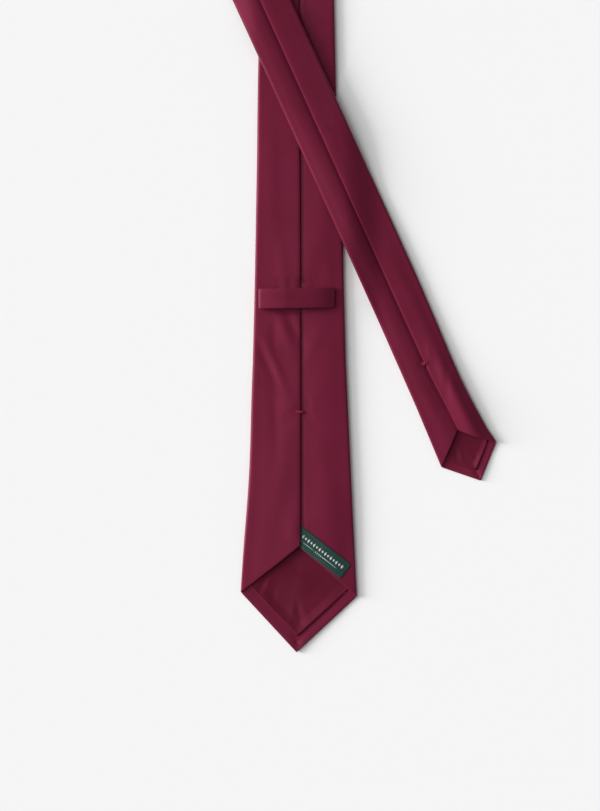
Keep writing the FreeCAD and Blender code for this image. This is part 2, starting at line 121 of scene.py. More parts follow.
def bulge(y, high, at, long):
    """A smooth bulge, told by its height, its middle and its half length."""
    return high * np.exp(-(((y - at) / long) ** 2))


def stretch(y, start, start_fade, end, end_fade):
    """1 along a stretch of a leg, with a smooth fade at each end."""
    return settle((y - end) / end_fade) - settle((y - start) / start_fade)


def beside(x, reach):
    """0 up to the middle line, and growing to 1 at a distance across."""
    return np.clip(x / reach, 0.0, 1.0)


print("halfway up a smooth step", float(ease(0.5)))

# %% Three frames: blade, neckband, tail
# sideways wanders and bulges of the real edges, as (size, place along, half length) where they are local
BLADE_SKEW = 0.037
BLADE_LEAN = 0.6
RIGHT_WANDER = 1.3
LEFT_WANDERS = ((1.7, 85.0, 50.0), (0.95, 195.0, 85.0))
TAIL_SLACK = (2.4, 48.0, 50.0)
TAIL_POINT_SHARE = 0.947
TAIL_LONGER = 1.1


def on_blade(x, y):
    """From across and along the blade to the table; it lies a little askew and its sides wander."""
    x, y = np.asarray(x, float), np.asarray(y, float)
    lean = BLADE_LEAN * stretch(y, 290.0, 70.0, 560.0, 80.0)
    left = sum(bulge(y, *wander) for wander in LEFT_WANDERS)
    right = RIGHT_WANDER * stretch(y, 270.0, 70.0, 540.0, 80.0)
    lean = lean - left * beside(-x, 20.0) + right * beside(x, 15.0)
    return x + BLADE_SKEW * np.minimum(y, 0.0) - lean, y - BLADE_SKEW * x * settle(y / 70.0)


def on_neck(x, s):
    """From across and along the neckband, which lies face up, to the table."""
    across = np.array([neck_way[1], -neck_way[0]])
    return (
        fold_1[0] + s * neck_way[0] + x * across[0],
        fold_1[1] + s * neck_way[1] + x * across[1],
    )


def on_tail(x, y):
    """From across and along the tail, counted up from its widest line, to the table."""
    across = np.array([-tail_way[1], tail_way[0]])
    x, y = np.asarray(x, float), np.asarray(y, float)
    x = x - bulge(y, *TAIL_SLACK) * ease(y / 12.0) * beside(x, 15.0)
    s = TAIL_LENGTH - np.where(y < 0, TAIL_POINT_SHARE * y, y) + TAIL_LONGER * settle(y / 80.0)
    return (
        fold_2[0] + s * tail_way[0] + x * across[0],
        fold_2[1] + s * tail_way[1] + x * across[1],
    )


print("tail's widest line is centred at", np.round(on_tail(0.0, 0.0), 1))

# %% [markdown]
# ## The folded section
# Cut the tie across and the cloth reads like a flat letter C: the face on the table, a tight roll at each
# side, and two flaps on top. The under flap dips and runs on past the seam, and the upper flap rises over
# it and ends in an edge that is turned in. A point of the flat cut is told by its distance from the middle
# of the face, and this function says where folding takes it and which way is inside.

# %% Sizes of the section
CLOTH = 0.35
FACE_LEVEL = 0.2
SIDE_ROLL = 1.25
CORNER_ROLL = 1.05
CROWN = 0.3
EDGE_LIFT = 0.85
UNDER_DIP = 0.35
VALLEY = 0.8
VALLEY_HALF = 1.5
EDGE_ROLL = 0.4
EDGE_RETURN = 6.0
TUCK_IN = 5.0
# shares of a flap's width, from the side roll to the seam
DIP_FROM = 0.5
LIFT_FROM = 0.3
MOUTH_BY = 0.4
print("the under flap runs on", TUCK_IN, "mm, and", EDGE_RETURN, "mm of the upper one is turned in")


# %% Fold a section
def fold_section(a, half, roll, top, seam, mouth=0.0):
    """Places of cloth points a millimetres from the middle of the face: (x, z, inward x, inward z).

    top is the side, -1 or 1, whose flap is on top, seam is where that flap ends, and mouth is how far
    the flaps stand up.
    """
    side = np.where(a < 0, -1.0, 1.0)
    arc = np.abs(a)
    flat = half - roll
    turn = np.clip((arc - flat) / roll, 0.0, math.pi)
    x = np.where(arc <= flat, a, side * (flat + roll * np.sin(turn)))
    z = FACE_LEVEL + roll * (1.0 - np.cos(turn))
    nx, nz = -side * np.sin(turn), np.cos(turn)
    t = arc - flat - math.pi * roll
    run = flat - side * seam
    v = np.clip(t / run, 0.0, 1.0)
    on_top = side == top
    near = np.maximum(run - t, 0.0)
    dip = UNDER_DIP * ease((v - DIP_FROM) / (1 - DIP_FROM)) + bulge(near, VALLEY, 0.0, VALLEY_HALF)
    lift = CROWN * np.sin(math.pi * v) + mouth * ease(v / MOUTH_BY)
    lift = lift + np.where(on_top, EDGE_LIFT * ease((v - LIFT_FROM) / (1 - LIFT_FROM)), -dip)
    back = t > 0
    x = np.where(back, side * (flat - t), x)
    z = np.where(back, z + lift, z)
    edge = run - EDGE_ROLL
    under = np.clip((t - edge) / EDGE_ROLL, 0.0, math.pi)
    returned = np.maximum(t - edge - math.pi * EDGE_ROLL, 0.0)
    turned = on_top & (t > edge)
    x = np.where(turned, side * (flat - edge - EDGE_ROLL * np.sin(under) + returned), x)
    z = np.where(turned, z - EDGE_ROLL * (1.0 - np.cos(under)), z)
    nx = np.where(turned, side * np.sin(under), nx)
    nz = np.where(turned, -np.cos(under), nz)
    return x, z, nx, nz


COUNTS = (2, 5, 14, 8, 22, 8, 15)
COLUMNS = sum(COUNTS) + 1


def section_columns(half, roll, top, seam):
    """Cloth points across the cut, from the turned-in edge round to the tucked one, for rows of halves."""
    flat = half - roll
    round_end = flat + math.pi * roll
    upper = round_end + flat - top * seam - EDGE_ROLL
    lower = round_end + flat + top * seam + TUCK_IN
    turned = upper + math.pi * EDGE_ROLL
    knots = [turned + EDGE_RETURN, turned, upper, round_end, flat, -flat, -round_end, -lower]
    pieces = []
    for i, count in enumerate(COUNTS):
        share = np.arange(count)[None, :] / count
        pieces.append(knots[i][:, None] * (1 - share) + knots[i + 1][:, None] * share)
    pieces.append(knots[-1][:, None])
    return top * np.concatenate(pieces, axis=1)


def columns_across(y, half, roll, top, seam_at):
    """One cloth point for each column of a row whose columns lie at different distances along."""
    return np.array([
        section_columns(half[c:c + 1], roll[c:c + 1], top, seam_at(y[c:c + 1]))[0, c]
        for c in range(COLUMNS)
    ])


print("points across the cut", COLUMNS)

# %% [markdown]
# ## Making the meshes
# Each piece of cloth is a grid of points, so one small function turns any grid into a mesh. It also keeps
# the place of each point in the flat cut as its UV, because the weave has to follow the cloth round every
# fold. A Solidify modifier gives the cloth its thickness; drawing both faces by hand would double the work.


# %% Grid to mesh
def link_mesh(name, points, faces, uvs, material):
    """A smooth mesh object from points in millimetres, with one UV pair for each point."""
    mesh = bpy.data.meshes.new(name)
    mesh.from_pydata((np.asarray(points) * MM).tolist(), [], [list(map(int, f)) for f in faces])
    layer = mesh.uv_layers.new(name="cut")
    corner = np.empty(len(mesh.loops), dtype=np.int32)
    mesh.loops.foreach_get("vertex_index", corner)
    layer.data.foreach_set("uv", (np.asarray(uvs)[corner] * MM).astype(np.float32).ravel())
    work = bmesh.new()
    work.from_mesh(mesh)
    bmesh.ops.remove_doubles(work, verts=work.verts, dist=2e-6)
    bmesh.ops.dissolve_degenerate(work, edges=work.edges, dist=1e-7)
    for face in work.faces:
        face.smooth = True
    work.to_mesh(mesh)
    work.free()
    mesh.materials.append(material)
    thing = bpy.data.objects.new(name, mesh)
    bpy.context.scene.collection.objects.link(thing)
    return thing


def grid_faces(rows, columns, closed=False):
    """Quads of a grid of points, closed round the columns if asked."""
    faces = []
    across = columns if closed else columns - 1
    for r in range(rows - 1):
        for c in range(across):
            d = (c + 1) % columns
            faces.append((r * columns + c, r * columns + d, (r + 1) * columns + d, (r + 1) * columns + c))
    return faces


def thicken(thing, thickness):
    """Gives a sheet its thickness, half on each side."""
    solid = thing.modifiers.new("thickness", "SOLIDIFY")
    solid.thickness = thickness * MM
    solid.offset = 0.0
    return thing


def cloth(name, grid, cut, material, thickness=CLOTH):
    """A sheet of cloth from a grid of points and a grid of their places in the flat cut."""
    faces = grid_faces(*grid.shape[:2])
    return thicken(link_mesh(name, grid.reshape(-1, 3), faces, cut.reshape(-1, 2), material), thickness)


def cut_area(cut):
    """Area of a grid in the flat cut, in square metres."""
    p, q, r, s = cut[:-1, :-1], cut[:-1, 1:], cut[1:, 1:], cut[1:, :-1]
    d, e = r - p, s - q
    return float(np.abs(d[..., 0] * e[..., 1] - d[..., 1] * e[..., 0]).sum()) / 2 * MM * MM


print("cloth is", CLOTH, "mm thick")

# %% [markdown]
# ## Satin and thread
# Satin is woven so that long threads float on its face, which makes it glossy one way and soft the other,
# and a tie is cut on the bias, so its twill runs across at 45 degrees. The weave is drawn in the flat cut:
# two crossed sets of fine waves for the bump, and a soft unevenness in the dye. The gloss is the shader's
# own: a moderate roughness, some anisotropy, and a highlight tinted by the dyed thread it slides along.

# %% Node helpers
scene = bpy.context.scene
scene.view_settings.view_transform = "Standard"


def node(tree, kind, **settings):
    """A shader node with its settings and inputs given by name."""
    made = tree.nodes.new(kind)
    for key, value in settings.items():
        if hasattr(made, key):
            setattr(made, key, value)
        else:
            made.inputs[key.replace("_", " ")].default_value = value
    return made


def new_material(name):
    """An empty node material and its Principled shader."""
    material = bpy.data.materials.new(name)
    material.use_nodes = True
    tree = material.node_tree
    return material, tree, tree.nodes["Principled BSDF"]


def set_inputs(shader, **settings):
    """Sets a shader's inputs by name."""
    for key, value in settings.items():
        shader.inputs[key.replace("_", " ")].default_value = value


def dye(tree, shader, amount, dark, colour, low, high):
    """Colours a shader from dark to full colour, as a texture's value runs from low to high."""
    tint = node(tree, "ShaderNodeValToRGB")
    for stop, position, tone in zip(tint.color_ramp.elements, (low, high), (dark, colour)):
        stop.position = position
        stop.color = (*tone, 1)
    tree.links.new(amount, tint.inputs["Fac"])
    tree.links.new(tint.outputs["Color"], shader.inputs["Base Color"])


def emboss(tree, shader, height, strength, depth):
    """Bumps a shader by a texture's value; depth is in metres."""
    bump = node(tree, "ShaderNodeBump", Strength=strength, Distance=depth)
    tree.links.new(height, bump.inputs["Height"])
    tree.links.new(bump.outputs["Normal"], shader.inputs["Normal"])


# %% The satin recipe
RIB_DEPTH = 0.00006
FIBRE_DEPTH = 0.0001
SOFT_GLOSS = (1.0, 0.26, 0.42)


def satin(name, colour, dark, gloss=SOFT_GLOSS, pitch=0.42, bump=0.25, roughness=0.42):
    """A bias-cut satin twill; pitch is the distance between its ribs in millimetres."""
    material, tree, shader = new_material(name)
    link = tree.links.new
    place = node(tree, "ShaderNodeUVMap", uv_map="cut")
    waves = []
    for angle, finer in ((45.0, 1.0), (-45.0, 1.37)):
        turn = node(tree, "ShaderNodeMapping", Rotation=(0.0, 0.0, math.radians(angle)))
        link(place.outputs["UV"], turn.inputs["Vector"])
        wave = node(tree, "ShaderNodeTexWave", Scale=50.0 / pitch * finer, Distortion=1.2, Detail=1.0)
        link(turn.outputs["Vector"], wave.inputs["Vector"])
        waves.append(wave)
    ribs = node(tree, "ShaderNodeMath", operation="MULTIPLY_ADD")
    ribs.inputs[1].default_value = 0.4
    link(waves[1].outputs["Fac"], ribs.inputs[0])
    link(waves[0].outputs["Fac"], ribs.inputs[2])
    slub = node(tree, "ShaderNodeTexNoise", Scale=900.0, Detail=3.0, Roughness=0.6)
    link(place.outputs["UV"], slub.inputs["Vector"])
    cloud = node(tree, "ShaderNodeTexNoise", Scale=28.0, Detail=4.0, Roughness=0.55)
    link(place.outputs["UV"], cloud.inputs["Vector"])
    uneven = node(tree, "ShaderNodeMath", operation="MULTIPLY_ADD")
    uneven.inputs[1].default_value = 0.45
    link(slub.outputs["Fac"], uneven.inputs[0])
    link(cloud.outputs["Fac"], uneven.inputs[2])
    dye(tree, shader, uneven.outputs["Value"], dark, colour, 0.45, 1.0)
    emboss(tree, shader, ribs.outputs["Value"], bump, RIB_DEPTH)
    set_inputs(shader, Roughness=roughness, Anisotropic=0.35, Specular_IOR_Level=0.3,
               Specular_Tint=(*gloss, 1.0), Sheen_Weight=0.03, Sheen_Roughness=0.4)
    return material


burgundy = satin("burgundy satin", (0.135, 0.0112, 0.0325), (0.110, 0.0086, 0.0250))
lining = satin("lining satin", (0.100, 0.0072, 0.0215), (0.078, 0.0052, 0.0160), pitch=0.3, roughness=0.55)
print("satins", burgundy.name, lining.name)


# %% Thread, wool and label cloth
def spun(name, colour, dark, scale, roughness=0.7, bump=0.5, fuzz=0.2):
    """Thread or wool: fine noise stretched one way, matt, with some fuzz."""
    material, tree, shader = new_material(name)
    link = tree.links.new
    place = node(tree, "ShaderNodeTexCoord")
    drawn_out = node(tree, "ShaderNodeMapping", Scale=(1.0, 0.35, 1.0))
    link(place.outputs["Object"], drawn_out.inputs["Vector"])
    fibre = node(tree, "ShaderNodeTexNoise", Scale=scale, Detail=5.0, Roughness=0.65)
    link(drawn_out.outputs["Vector"], fibre.inputs["Vector"])
    dye(tree, shader, fibre.outputs["Fac"], dark, colour, 0.3, 0.75)
    emboss(tree, shader, fibre.outputs["Fac"], bump, FIBRE_DEPTH)
    set_inputs(shader, Roughness=roughness, Specular_IOR_Level=0.2, Sheen_Weight=fuzz)
    return material


def smooth_thread(name, colour, dark):
    """Sewing thread: smooth, with hardly any fuzz."""
    return spun(name, colour, dark, 3000.0, roughness=0.6, fuzz=0.02)


thread_finish = smooth_thread("burgundy thread", (0.24, 0.018, 0.055), (0.12, 0.008, 0.028))
tack_finish = smooth_thread("tack thread", (0.34, 0.016, 0.060), (0.17, 0.008, 0.030))
wool = spun("brushed wool", (0.72, 0.67, 0.56), (0.52, 0.47, 0.38), 1500.0, roughness=0.95, fuzz=0.5)
print("spun finishes", thread_finish.name, tack_finish.name, wool.name)

# %% [markdown]
# ## How a leg lies on what is under it
# The neckband starts on top of the blade, and the tail starts on top of the neckband and later climbs over
# the blade. A limp strip does not step down: it leaves the edge of what it lies on and sinks to the table
# over a few centimetres, earlier on one side than the other where it crosses at an angle. Simulating it
# would give the same curve. Here every point asks how far it is from something that holds it up, and a
# smooth droop over that distance gives its height, side by side across the strip, which also twists it.

# %% Outlines of the legs
# half widths
BLADE_WIDEST = 40.0
TAIL_WIDEST = 20.7
NECK_HALF = 18.0
MARGIN = 3.0


def blade_half(y):
    """Half the blade's width, at a distance up from its widest line."""
    widths = [BLADE_WIDEST, BLADE_WIDEST, 36.8, 32.5, 27.7, 26.2, NECK_HALF, NECK_HALF]
    return np.interp(y, [-60, 0, 65, 160, 343, 409, 655, 900], widths)


def neck_half(s):
    """Half the neckband's width."""
    return np.full(np.shape(s), NECK_HALF)


def tail_half(y):
    """Half the tail's width, at a distance up from its widest line."""
    widths = [TAIL_WIDEST, TAIL_WIDEST, 19.3, 18.5, NECK_HALF, NECK_HALF]
    return np.interp(y, [-60, 0, 45, 105, 580, 800], widths)


def over_blade(x, y):
    """Whether the blade lies under a point of the table, with a small margin."""
    return np.abs(x) < blade_half(y) + MARGIN


def over_neck(x, y):
    """Whether the neckband lies under a point of the table, with the same margin."""
    dx, dy = x - fold_1[0], y - fold_1[1]
    along = dx * neck_way[0] + dy * neck_way[1]
    across = -dx * neck_way[1] + dy * neck_way[0]
    return (np.abs(across) < NECK_HALF + MARGIN) & (along > -5) & (along < NECK_SPAN + 40)


print("widest lines", 2 * BLADE_WIDEST, "and", 2 * TAIL_WIDEST, "mm, neckband", 2 * NECK_HALF, "mm")

# %% Heights along a leg
STACK = 4.0
OVER_BLADE = 5.0
DROOP = 62.0
STEP = 2.0
LEDGE_START = -40.0
LEDGE_BEYOND = 60.0
ACROSS = np.linspace(-42.0, 42.0, 43)
CURL = 0.45
POINT_LIFT = 0.7
FACE_UP_LEVEL = STACK - 0.4


def ledge_grid(length):
    """Places across and along a leg at which its height is kept."""
    return np.meshgrid(ACROSS, np.arange(LEDGE_START, length + LEDGE_BEYOND, STEP))


def make_ledge(place, length, held):
    """Height of the underside of a leg, as a grid over its length and width."""
    x, s = ledge_grid(length)
    up = held(*place(x, s))
    reach = int(DROOP / STEP)
    height = up.copy()
    for k in range(1, reach + 1):
        keep = 1.0 - ease(k / reach)
        height[k:] = np.maximum(height[k:], up[:-k] * keep)
        height[:-k] = np.maximum(height[:-k], up[k:] * keep)
    soft = height.copy()
    soft[:, 1:-1] = 0.25 * height[:, :-2] + 0.5 * height[:, 1:-1] + 0.25 * height[:, 2:]
    return np.maximum(soft, np.where(up > 0, height, 0.0))


def curl(half_at, length, fade):
    """How far the side rolls and the point lift off the table, as a grid like a ledge."""
    x, y = ledge_grid(length)
    sides = CURL * np.minimum(np.abs(x) / half_at(y), 1.0) ** 3 * settle((y - fade) / 90.0)
    return sides + POINT_LIFT * (np.minimum(y, 0.0) / BLADE_WIDEST) ** 2


def read_ledge(ledge, x, s):
    """The height between the grid's points."""
    i = np.clip((s - LEDGE_START) / STEP, 0, ledge.shape[0] - 1.001)
    j = np.clip((x - ACROSS[0]) / (ACROSS[1] - ACROSS[0]), 0, ledge.shape[1] - 1.001)
    i0, j0 = i.astype(int), j.astype(int)
    fi, fj = i - i0, j - j0
    low = ledge[i0, j0] * (1 - fj) + ledge[i0, j0 + 1] * fj
    high = ledge[i0 + 1, j0] * (1 - fj) + ledge[i0 + 1, j0 + 1] * fj
    return low * (1 - fi) + high * fi


def lay_on(grid, place, ledge, face_up):
    """Sends a grid from a leg's own frame to the table, up to the height the leg has there."""
    x, s, z = np.moveaxis(grid, 2, 0)
    wx, wy = place(x, s)
    wz = (FACE_UP_LEVEL - z if face_up else z) + read_ledge(ledge, x, s)
    return np.stack([wx, wy, wz], axis=2)


def lay_path(path, place, ledge, face_up):
    """Sends a single path of points to the table in the same way."""
    return lay_on(path[None], place, ledge, face_up)[0]


blade_ledge = curl(blade_half, BLADE_LENGTH, 440.0)
neck_ledge = make_ledge(on_neck, NECK_SPAN, lambda x, y: STACK * over_blade(x, y))
tail_ledge = make_ledge(
    on_tail, TAIL_LENGTH, lambda x, y: np.maximum(OVER_BLADE * over_blade(x, y), STACK * over_neck(x, y))
) + curl(tail_half, TAIL_LENGTH, 170.0)
print("neckband leaves the blade at", neck_ledge.max(), "mm; tail crosses at", tail_ledge.max(), "mm")

# %% [markdown]
# ## Creases
# Handled satin is never quite flat. The keeper loop and the bar tacks pull at the flaps, and a few long
# soft waves run along the legs. Most are only some tenths of a millimetre high, but satin shows them; the
# one slack edge, near the tail's point, stands about 3 mm. Each is a ridge with a place, a direction and a
# size. A height on the back grows from nothing at the face, so the side on the table stays flat.


# %% Relief of the back
def ridge(x, y, at, angle, long, wide, high):
    """A soft ridge, or a hollow if high is negative, centred at a point and lying at an angle."""
    c, s = math.cos(math.radians(angle)), math.sin(math.radians(angle))
    along = (x - at[0]) * c + (y - at[1]) * s
    across = -(x - at[0]) * s + (y - at[1]) * c
    return high * np.exp(-((along / long) ** 2) - (across / wide) ** 2)


CREASE = 1.5
LONG_WAVE = 0.10
SHORT_WAVE = 0.07
WAVE_FADE = 40.0
BLADE_RIDGES = [
    # place, angle in degrees, half length, half width, height before it is multiplied by CREASE
    ((-22, 159), 115, 15, 2.5, -0.48),
    ((-17.5, 158), 113, 20, 2.8, 0.50),
    ((-4.5, 185), 115, 12, 2.5, -0.42),
    ((-9.5, 180), 112, 14, 3.2, 0.36),
    ((-18, 178), 92, 11, 2.0, -0.28),
    ((-17.5, 122), 92, 24, 3.0, -0.26),
    ((9, 170), 68, 14, 3.2, 0.24),
    ((14, 222), 82, 16, 4.5, -0.22),
    ((-12, 226), 96, 18, 4.0, 0.25),
    ((-7, 129), 160, 7, 1.8, 0.34),
    ((-6, 121), 28, 7, 1.6, -0.30),
    ((7.5, 131), 48, 7, 1.5, 0.34),
    ((5.2, 128.5), 62, 4.5, 1.3, -0.75),
    ((8, 121), 140, 8, 1.9, -0.26),
    ((0.8, 126), 0, 4.2, 1.6, -0.55),
    ((-16, 70), 80, 34, 6.0, 0.20),
    ((17, 84), 97, 30, 6.0, 0.20),
    ((-20, 292), 92, 46, 6.5, 0.22),
    ((17, 270), 88, 40, 6.5, 0.18),
    ((-4, 44), 90, 10, 5.0, 0.32),
    ((0, 213.4), 1, 17, 1.7, -0.75),
    ((-4, 195.2), 1, 19, 1.7, -0.75),
]
TAIL_RIDGES = [
    ((-1.5, 69), 0, 3.4, 1.4, -0.5),
    ((4, 73), 55, 6, 1.6, 0.30),
    ((4, 65), 130, 7, 1.8, -0.25),
    ((-7, 72), 150, 6, 1.5, 0.2),
    ((10.5, 30), 91, 46, 7.0, 2.2),
    ((9, 52), 60, 12, 2.2, -0.30),
    ((-9, 34), 95, 22, 3.6, 0.2),
    ((8, 120), 92, 34, 4.0, 0.24),
    ((-8, 150), 88, 40, 4.0, 0.2),
]


def relief(x, y, ridges, fade):
    """How far the creases lift the back, fading to nothing towards a leg's fold."""
    total = LONG_WAVE * np.sin(y / 31.0 + x / 14.0) + SHORT_WAVE * np.sin(y / 17.0 - x / 9.0 + 1.0)
    for ridge_sizes in ridges:
        total = total + CREASE * ridge(x, y, *ridge_sizes)
    return total * ease((fade - y) / WAVE_FADE)


print("ridges", len(BLADE_RIDGES) + len(TAIL_RIDGES))

# %% [markdown]
# ## A panel with a pointed end
# At its end the panel is cut to a right angle. The raw edge is hemmed first, straight across the cut, and
# only then do the sides fold in, so the hem climbs round each corner and the flaps open in a V. Doing the
# folds in that order in the formulas too gives the V, the corners and the mitre at the point by itself.

# %% The hem
HEM_ROLL = 0.62
HEM_PINCH = 0.36
PINCH_FROM = 4.0
PINCH_LONG = 12.0
HEM_SINK = 0.4
SINK_LONG = 14.0
MITRE_GROOVE = 0.45
GROOVE_HALF = 0.6
UNDER_LINING = 2.5
HEM_SHIFT_FADE = 10.0
ROW_CROWDING = 1.2
DIAGONAL = math.sqrt(0.5)


def step_in(a, y, inwards):
    """Moves points of the cut inwards from the slanting edge, meeting at the mitre in the middle."""
    share = inwards * DIAGONAL
    side = np.where(a < 0, -1.0, 1.0)
    short = np.maximum(share - np.abs(a), 0.0)
    return side * np.maximum(np.abs(a) - share, 0.0), y + share + short


def hem_roll_at(widest, a):
    """Radius of the hem's roll, pinched where the hem nears a corner of the point."""
    return HEM_PINCH + (HEM_ROLL - HEM_PINCH) * ease((widest - PINCH_FROM - np.abs(a)) / PINCH_LONG)


print("hem rolls", HEM_PINCH, "to", HEM_ROLL, "mm in radius")

# %% Fullness along a leg
FULLER_ROLL = 0.35
FULLER_MOUTH = 0.4
MOUTH_SHARE = 0.021
MOUTH_LONG = 1.25
QUARTER_TURN = 1.57


def body(y):
    """1 along the full part of a leg, 0 at its point and towards the neckband."""
    return ease(y / 60.0) * settle((y - 300.0) / 130.0)


def roll_at(y):
    """Radius of the side rolls: pinched at the corners of the point, fullest along the body."""
    return CORNER_ROLL + (SIDE_ROLL - CORNER_ROLL) * ease(y / 45.0) + FULLER_ROLL * body(y)


def mouth_at(y, widest):
    """How far the flaps stand up: most at the mouth, a little along the body."""
    return bulge(y, MOUTH_SHARE * widest, 0.0, MOUTH_LONG * widest) + FULLER_MOUTH * body(y)


print("side rolls", np.round(roll_at(np.array([0.0, 150.0])), 2), "mm, at the widest line and above it")


# %% Lay out a pointed panel
def with_bend(shares, bend, count=26):
    """Extra rows where a panel bends, so that it bends smoothly."""
    return np.sort(np.r_[shares, np.linspace(bend[0], bend[1], count)])


def pointed_panel(half_at, top, seam_at, hem, v_slope, top_line, rows, bend):
    """Grids of folded points, of their places in the cut, and of how far each is round on the back.

    The rows run from the hem up to top_line, the (distance, slope) of the panel's far end.
    """
    widest = float(half_at(0.0))
    edge_y = np.zeros(COLUMNS)

    def columns_at(y):
        """The cloth points at these distances along, with the half widths and rolls there."""
        half, roll = half_at(y), roll_at(y)
        return columns_across(y, half, roll, top, seam_at), half, roll

    for _ in range(4):  # each round brings the columns nearer to the slanting edge
        a, half, roll = columns_at(edge_y)
        x = fold_section(a, half, roll, top, seam_at(edge_y))[0]
        side = np.where(a < 0, -1.0, 1.0)
        on_back = np.abs(a) > half - roll + roll * math.pi / 2
        edge_y = np.where(on_back, v_slope * (widest - side * x), np.abs(x) - widest)
    edge_a = a
    wide = hem_roll_at(widest, edge_a)
    grid, cut, back = [], [], []

    def add(a_now, y_now, inside, cut_a, cut_y):
        """A row of folded cloth, some way inside the envelope, with its places in the flat cut."""
        half_now, roll_now, seam_now = half_at(y_now), roll_at(y_now), seam_at(y_now)
        fx, fz, nx, nz = fold_section(a_now, half_now, roll_now, top, seam_now, mouth_at(y_now, widest))
        grid.append(np.stack([fx + inside * nx, y_now, fz + inside * nz], axis=1))
        cut.append(np.stack([cut_a, cut_y], axis=1))
        turned = (np.abs(a_now) - half_now + roll_now) / roll_now
        back.append(ease((turned - QUARTER_TURN) / QUARTER_TURN))

    def add_hem(a_now, y_now, inside, beyond):
        """A row of the hem, which in the flat cut lies beyond the slanting edge."""
        out = beyond * DIAGONAL
        add(a_now, y_now, inside, edge_a + side * out, edge_y - out)

    for depth in np.linspace(hem + UNDER_LINING, 0.0, 7):
        a_now, y_now = step_in(edge_a, edge_y, depth + wide)
        groove = bulge(a_now, MITRE_GROOVE, 0.0, GROOVE_HALF) * (np.abs(edge_a) < widest)
        groove = groove + HEM_SINK * ease(depth / hem) * ease((widest - np.abs(edge_a)) / SINK_LONG)
        add_hem(a_now, y_now, 2 * wide - groove, depth + math.pi * wide)
    for turn in np.linspace(math.pi, 0.0, 9)[1:]:
        a_now, y_now = step_in(edge_a, edge_y, wide * (1 - math.sin(turn)))
        add_hem(a_now, y_now, wide * (1 - math.cos(turn)), turn * wide)
    start_y = y_now
    shift = a_now - columns_at(start_y)[0]
    end_x = np.zeros(COLUMNS)
    for _ in range(6):  # and here to the line of the far end
        end_y = top_line[0] + top_line[1] * end_x
        end_a, half_now, roll_now = columns_at(end_y)
        end_x = fold_section(end_a, half_now, roll_now, top, seam_at(end_y))[0]
    for share in with_bend(np.linspace(0.0, 1.0, rows)[1:] ** ROW_CROWDING, bend):
        y_now = start_y + (end_y - start_y) * share
        a_now = columns_at(y_now)[0] + shift * np.clip(1 - (y_now - start_y) / HEM_SHIFT_FADE, 0, 1)
        add(a_now, y_now, np.zeros(COLUMNS), a_now, y_now)
    return np.array(grid), np.array(cut), np.array(back)


# %% [markdown]
# ## The blade
# One panel runs from the point to the first fold. Its width is read from a real tie: it falls fast above
# the point and then slowly all the way to the neckband. The seam wanders a millimetre from the middle, as
# a hand-closed seam does, and the left flap is the one on top.

# %% Fold the blade
BLADE_HEM = 7.3
BLADE_V = math.tan(math.radians(39.6))
BLADE_TOP = -1.0
BLADE_SEAM_OFF = 0.8
SEAM_WANDER = 0.35
BLADE_SMOOTH_FROM = 640.0
JOIN = 0.35


def blade_seam(y):
    """Where the upper flap of the blade ends."""
    y = np.asarray(y)
    return BLADE_SEAM_OFF + SEAM_WANDER * np.sin(y / 90.0) * ease((BLADE_SMOOTH_FROM - y) / 80.0)


blade_grid, blade_cut, blade_back = pointed_panel(
    blade_half, BLADE_TOP, blade_seam, BLADE_HEM, BLADE_V, (BLADE_LENGTH, -MITRE), 140, (0.195, 0.275)
)
blade_relief = relief(blade_grid[..., 0], blade_grid[..., 1], BLADE_RIDGES, BLADE_SMOOTH_FROM)
blade_grid[..., 2] += blade_back * blade_relief
blade_grid = lay_on(blade_grid, on_blade, blade_ledge, False)
blade_edge = blade_grid[-1].copy()
blade_grid[-1, :, 1] -= JOIN
blade_cloth = cloth("blade_cloth", blade_grid, blade_cut, burgundy)
print("blade", len(blade_cloth.data.polygons), "faces,", round(cut_area(blade_cut), 4), "m2 of cloth")

# %% [markdown]
# ## The neckband and its folds
# Between the folds the strip has no point, so its rows simply run from one slanting line to the next. At a
# fold the whole section turns half round the fold line. Sweeping the last row of points about that line
# makes the outer roll and the inner crease at once. The sweep is flattened, as a folded tie is pressed by
# its own weight.


# %% A plain run
def plain_run(half_at, top, seam_at, first_line, last_line, rows, valley):
    """Grids between two slanting lines; valley lets an end sink where it meets another panel."""
    roll = np.full(COLUMNS, SIDE_ROLL)
    grid, cut = [], []
    spots = np.concatenate([[0.0, 0.006, 0.02], np.linspace(0.04, 0.96, rows), [0.98, 0.994, 1.0]])
    for share in spots:
        x = np.zeros(COLUMNS)
        for _ in range(4):
            y = (first_line[0] + first_line[1] * x) * (1 - share) + (last_line[0] + last_line[1] * x) * share
            a = columns_across(y, half_at(y), roll, top, seam_at)
            x, z, nx, nz = fold_section(a, half_at(y), roll, top, seam_at(y))
        sink = valley[0] * (share == 0.0) + valley[1] * (share == 1.0)
        grid.append(np.stack([x + sink * nx, y, z + sink * nz], axis=1))
        cut.append(np.stack([a, y], axis=1))
    return np.array(grid), np.array(cut)


# %% Neckband panels
NECK_SEAM_AT = 68.0
TAIL_SEAM_AT = 120.0
SEAM_VALLEY = 0.28


def neck_seam(s):
    """Where the upper flap ends on the neckband, seen with the strip turned over."""
    return np.full(np.shape(s), -float(blade_seam(BLADE_LENGTH)))


